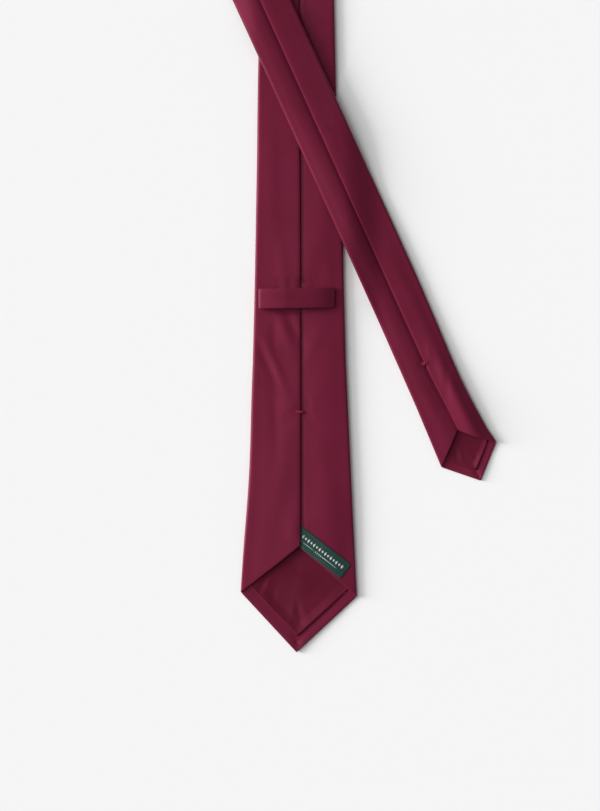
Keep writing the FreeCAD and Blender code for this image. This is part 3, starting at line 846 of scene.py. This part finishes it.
top_grid, top_cut = plain_run(
    neck_half, -BLADE_TOP, neck_seam, (0.0, MITRE), (NECK_SEAM_AT, 1.0), 18, (0.0, SEAM_VALLEY)
)
neck_grid, neck_cut = plain_run(
    neck_half, -BLADE_TOP, neck_seam, (NECK_SEAM_AT, 1.0), (NECK_SPAN, -MITRE), 18, (SEAM_VALLEY, 0.0)
)
top_grid = lay_on(top_grid, on_neck, neck_ledge, True)
neck_grid = lay_on(neck_grid, on_neck, neck_ledge, True)
top_edge, neck_edge = top_grid[0].copy(), neck_grid[-1].copy()
top_grid[0, :, :2] += JOIN * neck_way
neck_grid[-1, :, :2] -= JOIN * neck_way
blade_cloth_top = cloth("blade_cloth_top", top_grid, top_cut, burgundy)
neck_cloth = cloth("neck_cloth", neck_grid, neck_cut, burgundy)
print("neckband", len(blade_cloth_top.data.polygons) + len(neck_cloth.data.polygons), "faces")

# %% [markdown]
# ## The tail
# The tail is the blade again at half the size, with a shallower hem and its seam a little off the middle.
# Turned with its point towards us, its upper flap is on the other side, because it is the same flap of
# the same strip seen from the far end. A short length of the neck panel joins it to the second fold.

# %% Fold the tail
TAIL_HEM = 5.5
TAIL_V = math.tan(math.radians(42.0))
TAIL_SMOOTH_FROM = 470.0
TAIL_SEAM_OFF = 1.6


def tail_seam(y):
    """Where the upper flap of the tail ends; it meets the neckband's seam at the fold."""
    y = np.asarray(y)
    back_to_neck = (TAIL_SEAM_OFF - float(blade_seam(BLADE_LENGTH))) * ease((y - 100) / 400.0)
    return -TAIL_SEAM_OFF + 2.1 * ease((66 - y) / 50.0) + back_to_neck


tail_grid, tail_cut, tail_back = pointed_panel(
    tail_half, -BLADE_TOP, tail_seam, TAIL_HEM, TAIL_V, (TAIL_LENGTH - TAIL_SEAM_AT, 1.0), 110, (0.165, 0.29)
)
tail_relief = relief(tail_grid[..., 0], tail_grid[..., 1], TAIL_RIDGES, TAIL_SMOOTH_FROM)
tail_grid[..., 2] += tail_back * tail_relief
tail_grid = lay_on(tail_grid, on_tail, tail_ledge, False)
tail_cloth = cloth("tail_cloth", tail_grid, tail_cut, burgundy)
end_grid, end_cut = plain_run(
    tail_half, -BLADE_TOP, tail_seam,
    (TAIL_LENGTH - TAIL_SEAM_AT, 1.0), (TAIL_LENGTH, MITRE), 30, (SEAM_VALLEY, 0.0)
)
end_grid = lay_on(end_grid, on_tail, tail_ledge, False)
end_grid[-1, :, :2] += JOIN * tail_way
neck_cloth_end = cloth("neck_cloth_end", end_grid, end_cut, burgundy)
print("tail", len(tail_cloth.data.polygons) + len(neck_cloth_end.data.polygons), "faces")


# %% Roll the cloth over the two folds
ROLL_SWELL = 0.45


def roll_over(name, row, cut_row, way_in, way_out):
    """Sweeps a row of points half round the fold line, with a short run on before and after it."""
    outward = np.append(way_in - way_out, 0.0)
    outward /= np.linalg.norm(outward)
    drop = FOLD_LEVEL - row[:, 2]
    grid, cut = [row - JOIN * np.append(way_in, 0.0)], [cut_row * [1, 0] - [0, JOIN]]
    for turn in np.linspace(0.0, math.pi, 15):
        moved = row + outward * (ROLL_SWELL * drop * math.sin(turn))[:, None]
        moved[:, 2] = FOLD_LEVEL - drop * math.cos(turn)
        grid.append(moved)
        cut.append(np.stack([cut_row[:, 0], np.abs(drop) * turn], axis=1))
    grid.append(grid[-1] + JOIN * np.append(way_out, 0.0))
    cut.append(cut[-1] + [0, JOIN])
    return cloth(name, np.array(grid), np.array(cut), burgundy), np.array(cut)


blade_way = np.array([0.0, 1.0])
fold_1_cloth, fold_1_cut = roll_over("fold_1_cloth", blade_edge, blade_cut[-1], blade_way, neck_way)
fold_2_cloth, fold_2_cut = roll_over("fold_2_cloth", neck_edge, neck_cut[-1], neck_way, tail_way)
mirrored = blade_edge * [1, 1, -1] + [0, 0, 2 * FOLD_LEVEL]
print("rows meet within", round(float(np.abs(mirrored - top_edge).max()), 3), "mm")

# %% [markdown]
# ## The woollen interlining
# Inside the envelope lies a pad of brushed wool that gives the tie its body. It is hidden, but it is what
# a hand feels and what shows if a flap is lifted, so it is made as a closed pad, a little narrower than
# the envelope and cut to the same point.


# %% Pad a leg
PAD_COLUMNS = 15
PAD_ROWS = 46
PAD_NARROWER = 0.7
PAD_LEVEL = FACE_LEVEL + 0.22
PAD_TRIM = 6.0
END_TAPER = 14
SIDE_TAPER = 8
THIN_WOOL = 0.42
FULL_WOOL = 0.45


def pad(name, half_at, first, last, thick_at, place, ledge, face_up, bend=(0.4, 0.6)):
    """A closed wool pad; first and last give the ends' distance along for a distance across."""
    across = np.linspace(-1.0, 1.0, PAD_COLUMNS)
    round_it = np.concatenate([across, across[::-1]])
    upper = np.repeat([0.0, 1.0], PAD_COLUMNS)
    rows = []
    for share in with_bend(np.linspace(0.0, 1.0, PAD_ROWS), bend):
        y = np.zeros(len(round_it))
        for _ in range(4):
            x = round_it * (half_at(y) - SIDE_ROLL - PAD_NARROWER)
            y = first(x) * (1 - share) + last(x) * share
        swell = min(1.0, END_TAPER * share, END_TAPER * (1 - share))
        swell = swell * np.minimum(1.0, SIDE_TAPER * (1 - np.abs(round_it)))
        rows.append(np.stack([x, y, PAD_LEVEL + upper * swell * thick_at(y)], axis=1))
    grid = np.array(rows)
    cut = grid[..., :2] * np.where(upper > 0, -1.0, 1.0)[None, :, None]
    grid = lay_on(grid, place, ledge, face_up)
    faces = grid_faces(len(grid), len(round_it), True)
    return link_mesh(name, grid.reshape(-1, 3), faces, cut.reshape(-1, 2), wool), cut[:, :PAD_COLUMNS]


def end_line(widest, inset):
    """A cut parallel to the slanting edges of the point."""
    return lambda x: np.abs(x) - widest + inset


def slant(at, slope):
    """A straight cut across a leg."""
    return lambda x: at + slope * x


blade_wool, blade_wool_cut = pad(
    "blade_wool", blade_half, end_line(BLADE_WIDEST, 7.0), slant(BLADE_LENGTH - PAD_TRIM, -MITRE),
    lambda y: THIN_WOOL + FULL_WOOL * ease(y / 70.0), on_blade, blade_ledge, False, (0.20, 0.30),
)
neck_wool, neck_wool_cut = pad(
    "neck_wool", neck_half, slant(PAD_TRIM, MITRE), slant(NECK_SPAN - PAD_TRIM, -MITRE),
    lambda s: THIN_WOOL + FULL_WOOL, on_neck, neck_ledge, True,
)
tail_wool, tail_wool_cut = pad(
    "tail_wool", tail_half, end_line(TAIL_WIDEST, 5.0), slant(TAIL_LENGTH - PAD_TRIM, MITRE),
    lambda y: THIN_WOOL + FULL_WOOL * ease(y / 60.0), on_tail, tail_ledge, False, (0.13, 0.23),
)
print("wool pads", [len(pad_piece.data.polygons) for pad_piece in (blade_wool, neck_wool, tail_wool)])

# %% [markdown]
# ## Tipping
# The mouth is closed by a lining the shape of the point. Its edges are turned under and it is slipped on
# top of the hem all round, so from above there is a frame of hem, a soft rounded step, and a lining that
# sags into the mouth with a few slack puckers.


# %% Cut the tipping
LINING = 0.22
TIPPING_ROWS = 54
TIPPING_COLUMNS = 61
TIPPING_NARROWER = 4.5
TIPPING_TAPER = 0.0012
ON_HEM = 0.42
STEP_EDGE = 0.8
STEP_BEAD = 0.26
STEP_HALF = 0.55
SAG_SHARE = 0.16
# the turned-under edge, row by row: how far under, how far down, and how much further out in the cut
EDGE_ROWS = ((0.9, 0.28, 1.48), (0.35, 0.30, 1.4), (0.0, 0.2, 1.8), (0.0, 0.06, 0.0))


def tipping(name, widest, hem, deep, sag, puckers, place, ledge):
    """A lining for a pointed end, whose turned-under edge lies on the hem."""
    inset = hem * math.sqrt(2.0)
    side_at = widest - TIPPING_NARROWER
    spots = np.linspace(-1.0, 1.0, TIPPING_COLUMNS)
    inner_rows = TIPPING_ROWS - len(EDGE_ROWS)
    grid, cut = [], []
    for row in range(TIPPING_ROWS):
        at_edge = row < len(EDGE_ROWS)
        under, down, further = EDGE_ROWS[row] if at_edge else (0.0, 0.0, 0.0)
        along = max(row - len(EDGE_ROWS), 0) / (inner_rows - 1)
        x = spots * side_at * (1 - TIPPING_TAPER * along * deep)
        low = np.sqrt(x * x + 0.6) - widest + inset + under * 1.4
        y = low + (deep - low) * along
        far = (y - low) * DIAGONAL
        z = FACE_LEVEL + 2 * hem_roll_at(widest, np.abs(x) + hem * DIAGONAL) + ON_HEM - down
        if not at_edge:
            z = z - (z - sag) * ease((far - STEP_EDGE) / (SAG_SHARE * widest))
            z = z + bulge(far, STEP_BEAD, STEP_EDGE, STEP_HALF)
        for pucker in puckers:
            z = z + ridge(x, y, *pucker) * ease(far / 2.0)
        grid.append(np.stack([x, y, z], axis=1))
        cut.append(np.stack([x, y - further], axis=1))
    grid, cut = lay_on(np.array(grid), place, ledge, False), np.array(cut)
    return cloth(name, grid, cut, lining, thickness=LINING), grid, cut


BLADE_PUCKERS = [
    ((-26, 4), 62, 7, 1.8, -0.35), ((-22, 5), 70, 7, 1.6, 0.28), ((-17, 0), 75, 8, 2.0, -0.2),
    ((1, -15), 105, 8, 1.8, -0.38), ((5, -12), 118, 8, 1.8, 0.25), ((-4, -12), 80, 8, 2.0, 0.22),
    ((10, 2), 40, 14, 4.0, -0.15), ((0, 8), 95, 16, 5.0, 0.12),
]
TAIL_PUCKERS = [
    ((-8, 3), 70, 5, 1.2, -0.2), ((-5, 1), 80, 5, 1.2, 0.15), ((4, -3), 110, 5, 1.3, -0.2),
]
blade_tipping_cloth, blade_tipping_grid, blade_tipping_cut = tipping(
    "blade_tipping_cloth", BLADE_WIDEST, BLADE_HEM, 56.0, 1.05, BLADE_PUCKERS, on_blade, blade_ledge
)
tail_tipping_cloth, tail_tipping_grid, tail_tipping_cut = tipping(
    "tail_tipping_cloth", TAIL_WIDEST, TAIL_HEM, 37.0, 1.0, TAIL_PUCKERS, on_tail, tail_ledge
)
print("tippings", len(blade_tipping_cloth.data.polygons) + len(tail_tipping_cloth.data.polygons), "faces")

# %% [markdown]
# ## Threads
# Every thread is a thin tube swept along a path. The slip stitch zigzags between the flaps, out of sight.
# A bar tack is a bundle of short strands laid over the seam, pulled tight enough to pucker the cloth.


# %% Sweep threads
def threads(name, paths, radius, material, sides=6):
    """One object of round threads along paths in millimetres."""
    points, faces, uvs = [], [], []
    for path in paths:
        path = np.asarray(path, float)
        way = np.gradient(path, axis=0)
        way /= np.linalg.norm(way, axis=1)[:, None]
        side = np.cross(way, [0.0, 0.02, 1.0])
        side /= np.linalg.norm(side, axis=1)[:, None]
        up = np.cross(side, way)
        start = len(points)
        for i, spot in enumerate(path):
            for k in range(sides):
                turn = 2 * math.pi * k / sides
                points.append(spot + radius * (math.cos(turn) * side[i] + math.sin(turn) * up[i]))
                uvs.append((k * radius, i * 0.5))
        faces += [[start + corner for corner in face] for face in grid_faces(len(path), sides, True)]
        faces.append([start + k for k in range(sides)])
        faces.append([len(points) - 1 - k for k in range(sides)])
    return link_mesh(name, points, faces, uvs, material)


# %% Height of a flap
NEAR_SEAM = 0.97


def flap_height(side, x, y, half_at, top, seam_at, widest, ridges, fade):
    """Height of the middle of a flap's cloth; at the seam it is the height of the upper flap's edge."""
    x, y = np.asarray(x, float), np.asarray(y, float)
    half, roll, mouth = half_at(y), roll_at(y), mouth_at(y, widest)
    a = side * (2 * (half - roll) + math.pi * roll - side * x)
    z = fold_section(a, half, roll, top, seam_at(y), mouth)[1]
    share = (half - roll - side * x) / (half - roll - side * seam_at(y))
    if side == top and np.any(share >= NEAR_SEAM):
        z = FACE_LEVEL + 2 * roll + EDGE_LIFT + mouth
    return z + relief(x, y, ridges, fade)


def blade_flap(side, x, y):
    """Height of a flap on the blade."""
    return flap_height(side, x, y, blade_half, BLADE_TOP, blade_seam, BLADE_WIDEST,
                       BLADE_RIDGES, BLADE_SMOOTH_FROM)


def tail_flap(side, x, y):
    """Height of a flap on the tail."""
    return flap_height(side, x, y, tail_half, -BLADE_TOP, tail_seam, TAIL_WIDEST,
                       TAIL_RIDGES, TAIL_SMOOTH_FROM)


print("under flap of the blade at", np.round(blade_flap(1, [8.0], [200.0]), 2), "mm")

# %% Slip stitches
THREAD = 0.11
ABOVE_FLAP = 0.24


def zigzag(first, last, seam_at, hidden, height, pitch=3.4):
    """Points of a slip stitch between the flaps; hidden is the side it runs on."""
    y = np.arange(first, last, pitch / 2)
    x = seam_at(y) + hidden * np.where(np.arange(len(y)) % 2, 1.1, 2.6)
    return np.stack([x, y, height(x, y)], axis=1)


def slip_stitch(name, path):
    """The slip stitch of one leg."""
    return threads(name, [path], THREAD, thread_finish)


blade_path = zigzag(128, 656, blade_seam, BLADE_TOP, lambda x, y: blade_flap(-BLADE_TOP, x, y) + ABOVE_FLAP)
neck_path = zigzag(24, 112, neck_seam, -BLADE_TOP, lambda x, y: np.full(np.shape(x), 2.15))
tail_path = zigzag(71, 584, tail_seam, -BLADE_TOP, lambda x, y: tail_flap(BLADE_TOP, x, y) + ABOVE_FLAP)
blade_slip = slip_stitch("blade_slip_thread", blade_path)
neck_slip = slip_stitch("neck_slip_thread", lay_path(neck_path, on_neck, neck_ledge, True))
tail_slip = slip_stitch("tail_slip_thread", lay_path(tail_path, on_tail, tail_ledge, False))
print("slip stitches with", len(blade_path), len(neck_path), len(tail_path), "turns")


# %% Bar tacks
STRANDS = 9
STRAND = 0.17
TACK_ARCH = 0.42
BLADE_TACK_AT = 126.0
TAIL_TACK_AT = 69.0


def bar_tack(name, x, y, reach, flap, side, place, ledge):
    """A bundle of strands over the seam, with two that loop back to the left."""
    high = float(flap(side, np.array([x + 2.0 * side]), np.array([y]))[0]) + TACK_ARCH
    paths = []
    across = np.linspace(-1.0, 1.0, 13)
    for k in range(STRANDS):
        off = 2 * k / (STRANDS - 1) - 1
        long = reach * (1.0 - 0.16 * off * off) * (1.0 + 0.06 * math.sin(5.1 * k))
        arch = high + TACK_ARCH * (1 - across ** 4) - TACK_ARCH * np.abs(across) ** 6
        bow = 0.34 * off * (1 + 0.9 * across ** 2) + 0.1 * math.sin(2.3 * k)
        paths.append(np.stack([x + long * across, y + bow * 1.7, arch - 0.16 * off * off], axis=1))
    turn = np.linspace(-2.2, 2.2, 15)
    for k in (-1, 1):
        paths.append(np.stack([
            x - reach * 0.75 - 1.1 * np.cos(turn), y + k * 0.55 + 0.75 * np.sin(turn),
            high + 0.15 + 0.25 * np.cos(turn),
        ], axis=1))
    return threads(name, [lay_path(path, place, ledge, False) for path in paths], STRAND, tack_finish)


blade_tack = bar_tack("blade_tack", 0.6, BLADE_TACK_AT, 3.1, blade_flap, BLADE_TOP, on_blade, blade_ledge)
tail_tack = bar_tack("tail_tack", -1.1, TAIL_TACK_AT, 2.4, tail_flap, -BLADE_TOP, on_tail, tail_ledge)
print("bar tacks at", BLADE_TACK_AT, "mm and", TAIL_TACK_AT, "mm up from the widest lines")


# %% Rows of short stitches
FINE_THREAD = 0.07
TIPPING_STITCH_ROW = 5


def dashes(starts, ends, sink=0.15):
    """Short arched stitches between pairs of points."""
    paths = []
    for p, q in zip(starts, ends):
        share = np.linspace(0.0, 1.0, 6)[:, None]
        path = np.asarray(p) * (1 - share) + np.asarray(q) * share
        path[:, 2] += 0.1 - sink * (2 * share[:, 0] - 1) ** 4
        paths.append(path)
    return paths


def tipping_stitches(name, grid, step):
    """Stitches just above a row of the tipping, near its edge; step is in columns."""
    line = grid[TIPPING_STITCH_ROW] + [0, 0, 0.08]
    starts, nexts = line[:-1:step], line[1::step]
    return threads(name, dashes(starts, starts * 0.45 + nexts[:len(starts)] * 0.55), FINE_THREAD, lining)


blade_tipping_thread = tipping_stitches("blade_tipping_thread", blade_tipping_grid, 3)
tail_tipping_thread = tipping_stitches("tail_tipping_thread", tail_tipping_grid, 4)


def joining(name, at, place, ledge, face_up):
    """Stitches of a bias seam, inside the envelope."""
    x = np.arange(-15.0, 15.0, 2.4)
    start = np.stack([x, at + x, np.full(len(x), 0.5)], axis=1)
    paths = [lay_path(path, place, ledge, face_up) for path in dashes(start, start + [1.2, 1.2, 0.0])]
    return threads(name, paths, 0.1, thread_finish)


blade_neck_thread = joining("blade_neck_thread", NECK_SEAM_AT, on_neck, neck_ledge, True)
neck_tail_thread = joining("neck_tail_thread", TAIL_LENGTH - TAIL_SEAM_AT, on_tail, tail_ledge, False)
print("seams joined by", blade_neck_thread.name, "and", neck_tail_thread.name)

# %% [markdown]
# ## The keeper loop
# A band of the same satin, folded to two layers, makes a flat ring that holds the tail in wear. It is
# caught down along its lower run, and its upper run bows up, so it darkens on the side away from the
# windows. A rounded section is swept round the ring; a flat ribbon would have no folded edges.

# %% Sweep the keeper
KEEPER_AT = (-1.45, 204.3)
KEEPER_HALF = 25.2
BAND_HALF = 6.85
BAND_THICK = 0.42
KEEPER_REST = 4.95
KEEPER_BOW = 5.6
KEEPER_PEAK = -0.3
KEEPER_LEFT = 0.3
KEEPER_TILT = 0.017
KEEPER_END = 0.62


def keeper_path(count):
    """Centre line of the ring, as (x, z), and the way out of it."""
    run = np.linspace(-1.0, 1.0, count)
    end = KEEPER_END
    low = np.stack([run * KEEPER_HALF, np.full(count, KEEPER_REST)], axis=1)
    lean = np.abs(run - KEEPER_PEAK) / np.where(run < KEEPER_PEAK, 1 + KEEPER_PEAK, 1 - KEEPER_PEAK)
    rise = np.where(run < KEEPER_PEAK, 1 - KEEPER_LEFT * lean ** 2, 1 - 0.45 * lean - 0.55 * lean ** 5)
    high = np.stack([run * KEEPER_HALF, KEEPER_REST + 2 * end + KEEPER_BOW * rise], axis=1)[::-1]
    turn = np.linspace(-math.pi / 2, math.pi / 2, 9)[1:-1]
    right = np.stack([KEEPER_HALF + end * np.cos(turn), KEEPER_REST + end + end * np.sin(turn)], axis=1)
    tall = end + 0.5 * (1 - KEEPER_LEFT) * KEEPER_BOW
    left = np.stack([-KEEPER_HALF - end * np.cos(turn), KEEPER_REST + tall - tall * np.sin(turn)], axis=1)
    line = np.concatenate([low, right, high, left])
    way = np.roll(line, -1, axis=0) - np.roll(line, 1, axis=0)
    way /= np.linalg.norm(way, axis=1)[:, None]
    return line, np.stack([way[:, 1], -way[:, 0]], axis=1)


def band_section():
    """Half the band's section, from edge to edge: places across and heights."""
    w = BAND_HALF * np.sin(np.linspace(-math.pi / 2, math.pi / 2, 25))
    n = BAND_THICK * (1 - (np.abs(w) / BAND_HALF) ** 12) ** 0.5
    return w, n - 0.14 * np.exp(-(((BAND_HALF - np.abs(w)) - 1.1) / 0.32) ** 2)


line, outward = keeper_path(41)
w, n = band_section()
w_all = np.concatenate([w, w[-2:0:-1]])
n_all = np.concatenate([n, -n[-2:0:-1]])
keeper_grid = np.empty((len(line), len(w_all), 3))
keeper_grid[..., 0] = KEEPER_AT[0] + line[:, :1] + outward[:, :1] * n_all
keeper_grid[..., 1] = KEEPER_AT[1] + w_all + KEEPER_TILT * line[:, :1]
keeper_grid[..., 2] = line[:, 1:] + outward[:, 1:] * n_all
round_ring = np.cumsum(np.r_[0, np.linalg.norm(np.diff(line, axis=0), axis=1)])
keeper_cut = np.stack(np.broadcast_arrays(w_all[None, :], round_ring[:, None]), axis=2)
closed_grid = np.concatenate([keeper_grid, keeper_grid[:1]])
closed_cut = np.concatenate([keeper_cut, keeper_cut[:1] + [0, float(round_ring[-1]) + 1.0]])
keeper = link_mesh("keeper", closed_grid.reshape(-1, 3),
                   grid_faces(len(closed_grid), len(w_all), True), closed_cut.reshape(-1, 2), burgundy)
tack_x = np.arange(-22.0, 22.0, 4.4)
keeper_dashes = []
for off in (-5.2, 5.2):
    start = np.empty((len(tack_x), 3))
    start[:] = KEEPER_AT[0], KEEPER_AT[1] + off, KEEPER_REST + BAND_THICK
    start[:, 0] += tack_x
    keeper_dashes += dashes(start, start + [1.8, 0, 0])
keeper_stitches = threads("keeper_stitches", keeper_dashes, THREAD, thread_finish)
print("keeper", round(float(round_ring[-1]), 1), "mm round")

# %% [markdown]
# ## The label
# A short piece of green ribbon lies along the mouth on the under flap, its left end caught beneath the
# upper flap. The maker's lettering is left out; a row of woven lozenges and a broken rule stand for it.
# They are raised a hair, as brocaded threads are.

# %% Weave the ribbon
LABEL_FROM = np.array([0.9, 40.2])
LABEL_WAY = np.array([math.cos(math.radians(-37.8)), math.sin(math.radians(-37.8))])
LABEL_UP = np.array([-LABEL_WAY[1], LABEL_WAY[0]])
LABEL_LONG = (-4.0, 40.2)
LABEL_HALF = 6.25
LABEL_CORNER = 1.3
RIBBON = 0.22
RIBBON_ABOVE = 0.30


def on_label(u, v, over):
    """A point of the label, u along and v across from its middle line, lying on the under flap."""
    x = LABEL_FROM[0] + u * LABEL_WAY[0] + v * LABEL_UP[0]
    y = LABEL_FROM[1] + u * LABEL_WAY[1] + v * LABEL_UP[1]
    tucked = ease((blade_seam(y) + 1.0 - x) / 2.0)
    under = blade_flap(1, x, y) + read_ledge(blade_ledge, x, y)
    return np.stack([x, y, under + RIBBON_ABOVE - 0.06 * tucked + over], axis=-1)


def green_weave():
    """Dark green ribbon, ribbed across."""
    return satin("label ribbon", (0.019, 0.049, 0.042), (0.013, 0.036, 0.031), (0.6, 0.9, 0.85), pitch=0.5,
                 roughness=0.6)


ribbon = green_weave()
pale_thread = spun("pale thread", (0.50, 0.54, 0.50), (0.34, 0.38, 0.35), 2500.0, roughness=0.6)
u, v = np.meshgrid(np.linspace(*LABEL_LONG, 60), np.linspace(-LABEL_HALF, LABEL_HALF, 17))
corner = np.maximum(np.abs(v) - (LABEL_HALF - LABEL_CORNER), 0.0)
u = np.minimum(u, LABEL_LONG[1] - 0.5 * corner ** 2)
label_cut = np.stack([u, v], axis=2)
label_grid = on_label(u, v, bulge(LABEL_HALF - np.abs(v), 0.05, 0.0, 0.7))
label_cloth = cloth("label_ribbon", label_grid, label_cut, ribbon, thickness=RIBBON)
print("ribbon grid", label_grid.shape[:2])


# %% Brocade its motif
def patch(outline):
    """A small filled shape on the label: points and faces of a fan."""
    centre = np.mean(outline, axis=0)
    spots = np.array([centre, *outline])
    count = len(outline)
    fan = [[0, 1 + i, 1 + (i + 1) % count] for i in range(count)]
    return on_label(spots[:, 0], spots[:, 1], 0.15), fan


shapes = []
for k in range(15):
    mid, tall, slim = 2.2 + 2.42 * k, 1.65 if k % 2 == 0 else 1.1, 0.9
    shapes.append([(mid - slim, 1.1), (mid, 1.1 - tall), (mid + slim, 1.1), (mid, 1.1 + tall)])
for first, last in ((2.4, 14.2), (21.0, 33.6)):
    steps = np.linspace(first, last, 12)
    shapes.append([(s, -2.35) for s in steps] + [(s, -1.95) for s in steps[::-1]])
for k in range(4):
    mid = 15.4 + 1.5 * k
    shapes.append([(mid - 0.5, -2.15), (mid, -2.85), (mid + 0.5, -2.15), (mid, -1.45)])
motif_points, motif_faces = [], []
for outline in shapes:
    spots, fan = patch(outline)
    motif_faces += [[len(motif_points) + i for i in face] for face in fan]
    motif_points += list(spots)
motif_places = np.array(motif_points)[:, :2]
label_motif = thicken(link_mesh("label_motif", motif_points, motif_faces, motif_places, pale_thread), 0.09)

# %% Tack the label's end
ends = np.linspace(-4.6, 4.6, 6)
at_end = np.full(len(ends), LABEL_LONG[1] - 1.0)
label_dashes = dashes(on_label(at_end, ends, 0.1), on_label(at_end, ends + 0.8, 0.1))
label_thread = threads("label_stitches_thread", label_dashes, 0.06, ribbon)
print("label", round(LABEL_LONG[1] - LABEL_LONG[0], 1), "by", 2 * LABEL_HALF, "mm")

# %% [markdown]
# ## Floor and light
# The tie lies on a pale seamless floor. Windows on the left light it, one high and one low. The high one
# models the rolls and the low one throws the long soft shadow to the right. Both are broad, because a
# small lamp would draw a hard edge. The room returns enough light to keep the shadows open.


# %% Light the room
def window(name, strength, spread, tilt_x, tilt_y):
    """A distant light as broad as a window."""
    data = bpy.data.lights.new(name, "SUN")
    data.energy = strength
    data.angle = math.radians(spread)
    lamp = bpy.data.objects.new(name, data)
    lamp.rotation_euler = (math.radians(tilt_x), math.radians(tilt_y), 0)
    bpy.context.scene.collection.objects.link(lamp)
    return lamp


high_window = window("high window", 1.80, 56, -12, -44)
low_window = window("low window", 4.25, 26, -10, -73)
world = bpy.data.worlds.new("room")
world.use_nodes = True
set_inputs(world.node_tree.nodes["Background"], Color=(1, 1, 1, 1), Strength=0.27)
scene.world = world
print("windows", high_window.data.energy, low_window.data.energy)

# %% Lay the floor
FLOOR = 3.0
floor_material, floor_tree, floor_shader = new_material("floor")
set_inputs(floor_shader, Base_Color=(0.86, 0.86, 0.86, 1), Roughness=0.9)
floor_mesh = bpy.data.meshes.new("floor")
corners = [(-FLOOR, -FLOOR, 0), (FLOOR, -FLOOR, 0), (FLOOR, FLOOR, 0), (-FLOOR, FLOOR, 0)]
floor_mesh.from_pydata(corners, [], [(0, 1, 2, 3)])
floor_mesh.materials.append(floor_material)
floor = bpy.data.objects.new("floor", floor_mesh)
bpy.context.scene.collection.objects.link(floor)
print("floor", 2 * FLOOR, "m across with", len(floor_tree.nodes), "shader nodes")

# %% [markdown]
# ## Joining the cloth to the fixed model
# Pieces that ride on a body are attached to it, and each piece hides the fixed pieces it stands for. The
# tips of the blade and the tail lift, and the tipping, tacks and label on them ride on those tips. The cloth
# of the blade and the tail, with its wool and slip stitches, and the rolls at the two folds stay where they
# were made.


def stands_for(thing, material_slot, *nodes):
    """Takes the place of fixed pieces by hiding them; material_slot is not used."""
    if nodes:
        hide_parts(*nodes)


# %% The blade and its end
for thing in (blade_cloth, blade_wool, blade_slip):
    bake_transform(thing)
for thing in (blade_tipping_cloth, blade_tipping_thread, blade_tack, label_cloth, label_motif, label_thread):
    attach(thing, "blade_end")
for thing in (keeper, keeper_stitches):
    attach(thing, "blade")
stands_for(blade_cloth, "tie_cloth", "blade_shell", "blade_end_shell")
stands_for(blade_wool, "interlining", "blade_interlining", "blade_end_interlining")
stands_for(blade_slip, "thread", "blade_slip_stitch", "blade_end_slip_stitch")
stands_for(blade_tipping_cloth, "tipping_cloth", "blade_tipping")
stands_for(blade_tipping_thread, "thread", "blade_tipping_stitches")
stands_for(blade_tack, "thread", "blade_bar_tack")
stands_for(label_cloth, "label_cloth", "label")
stands_for(label_motif, "thread")
stands_for(label_thread, "thread", "label_stitches")
stands_for(keeper, "tie_cloth", "keeper_loop")
stands_for(keeper_stitches, "thread", "keeper_tack")

# %% The folds and the neckband
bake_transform(fold_1_cloth)
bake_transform(fold_2_cloth)
for thing in (blade_cloth_top, neck_cloth, neck_wool, neck_slip, blade_neck_thread):
    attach(thing, "neck")
stands_for(fold_1_cloth, "tie_cloth")
stands_for(fold_2_cloth, "tie_cloth")
stands_for(blade_cloth_top, "tie_cloth", "blade_shell_top")
stands_for(neck_cloth, "tie_cloth", "neck_shell")
stands_for(neck_wool, "interlining", "neck_interlining")
stands_for(neck_slip, "thread", "neck_slip_stitch")
stands_for(blade_neck_thread, "thread", "blade_neck_seam")

# %% The tail and its end
for thing in (tail_cloth, tail_wool, tail_slip):
    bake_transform(thing)
for thing in (neck_cloth_end, neck_tail_thread):
    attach(thing, "tail")
for thing in (tail_tipping_cloth, tail_tipping_thread, tail_tack):
    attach(thing, "tail_end")
stands_for(tail_cloth, "tie_cloth", "tail_shell", "tail_end_shell")
stands_for(tail_wool, "interlining", "tail_interlining", "tail_end_interlining")
stands_for(tail_slip, "thread", "tail_slip_stitch", "tail_end_slip_stitch")
stands_for(neck_cloth_end, "tie_cloth", "neck_shell_end")
stands_for(neck_tail_thread, "thread", "neck_tail_seam")
stands_for(tail_tipping_cloth, "tipping_cloth", "tail_tipping")
stands_for(tail_tipping_thread, "thread", "tail_tipping_stitches")
stands_for(tail_tack, "thread", "tail_bar_tack")
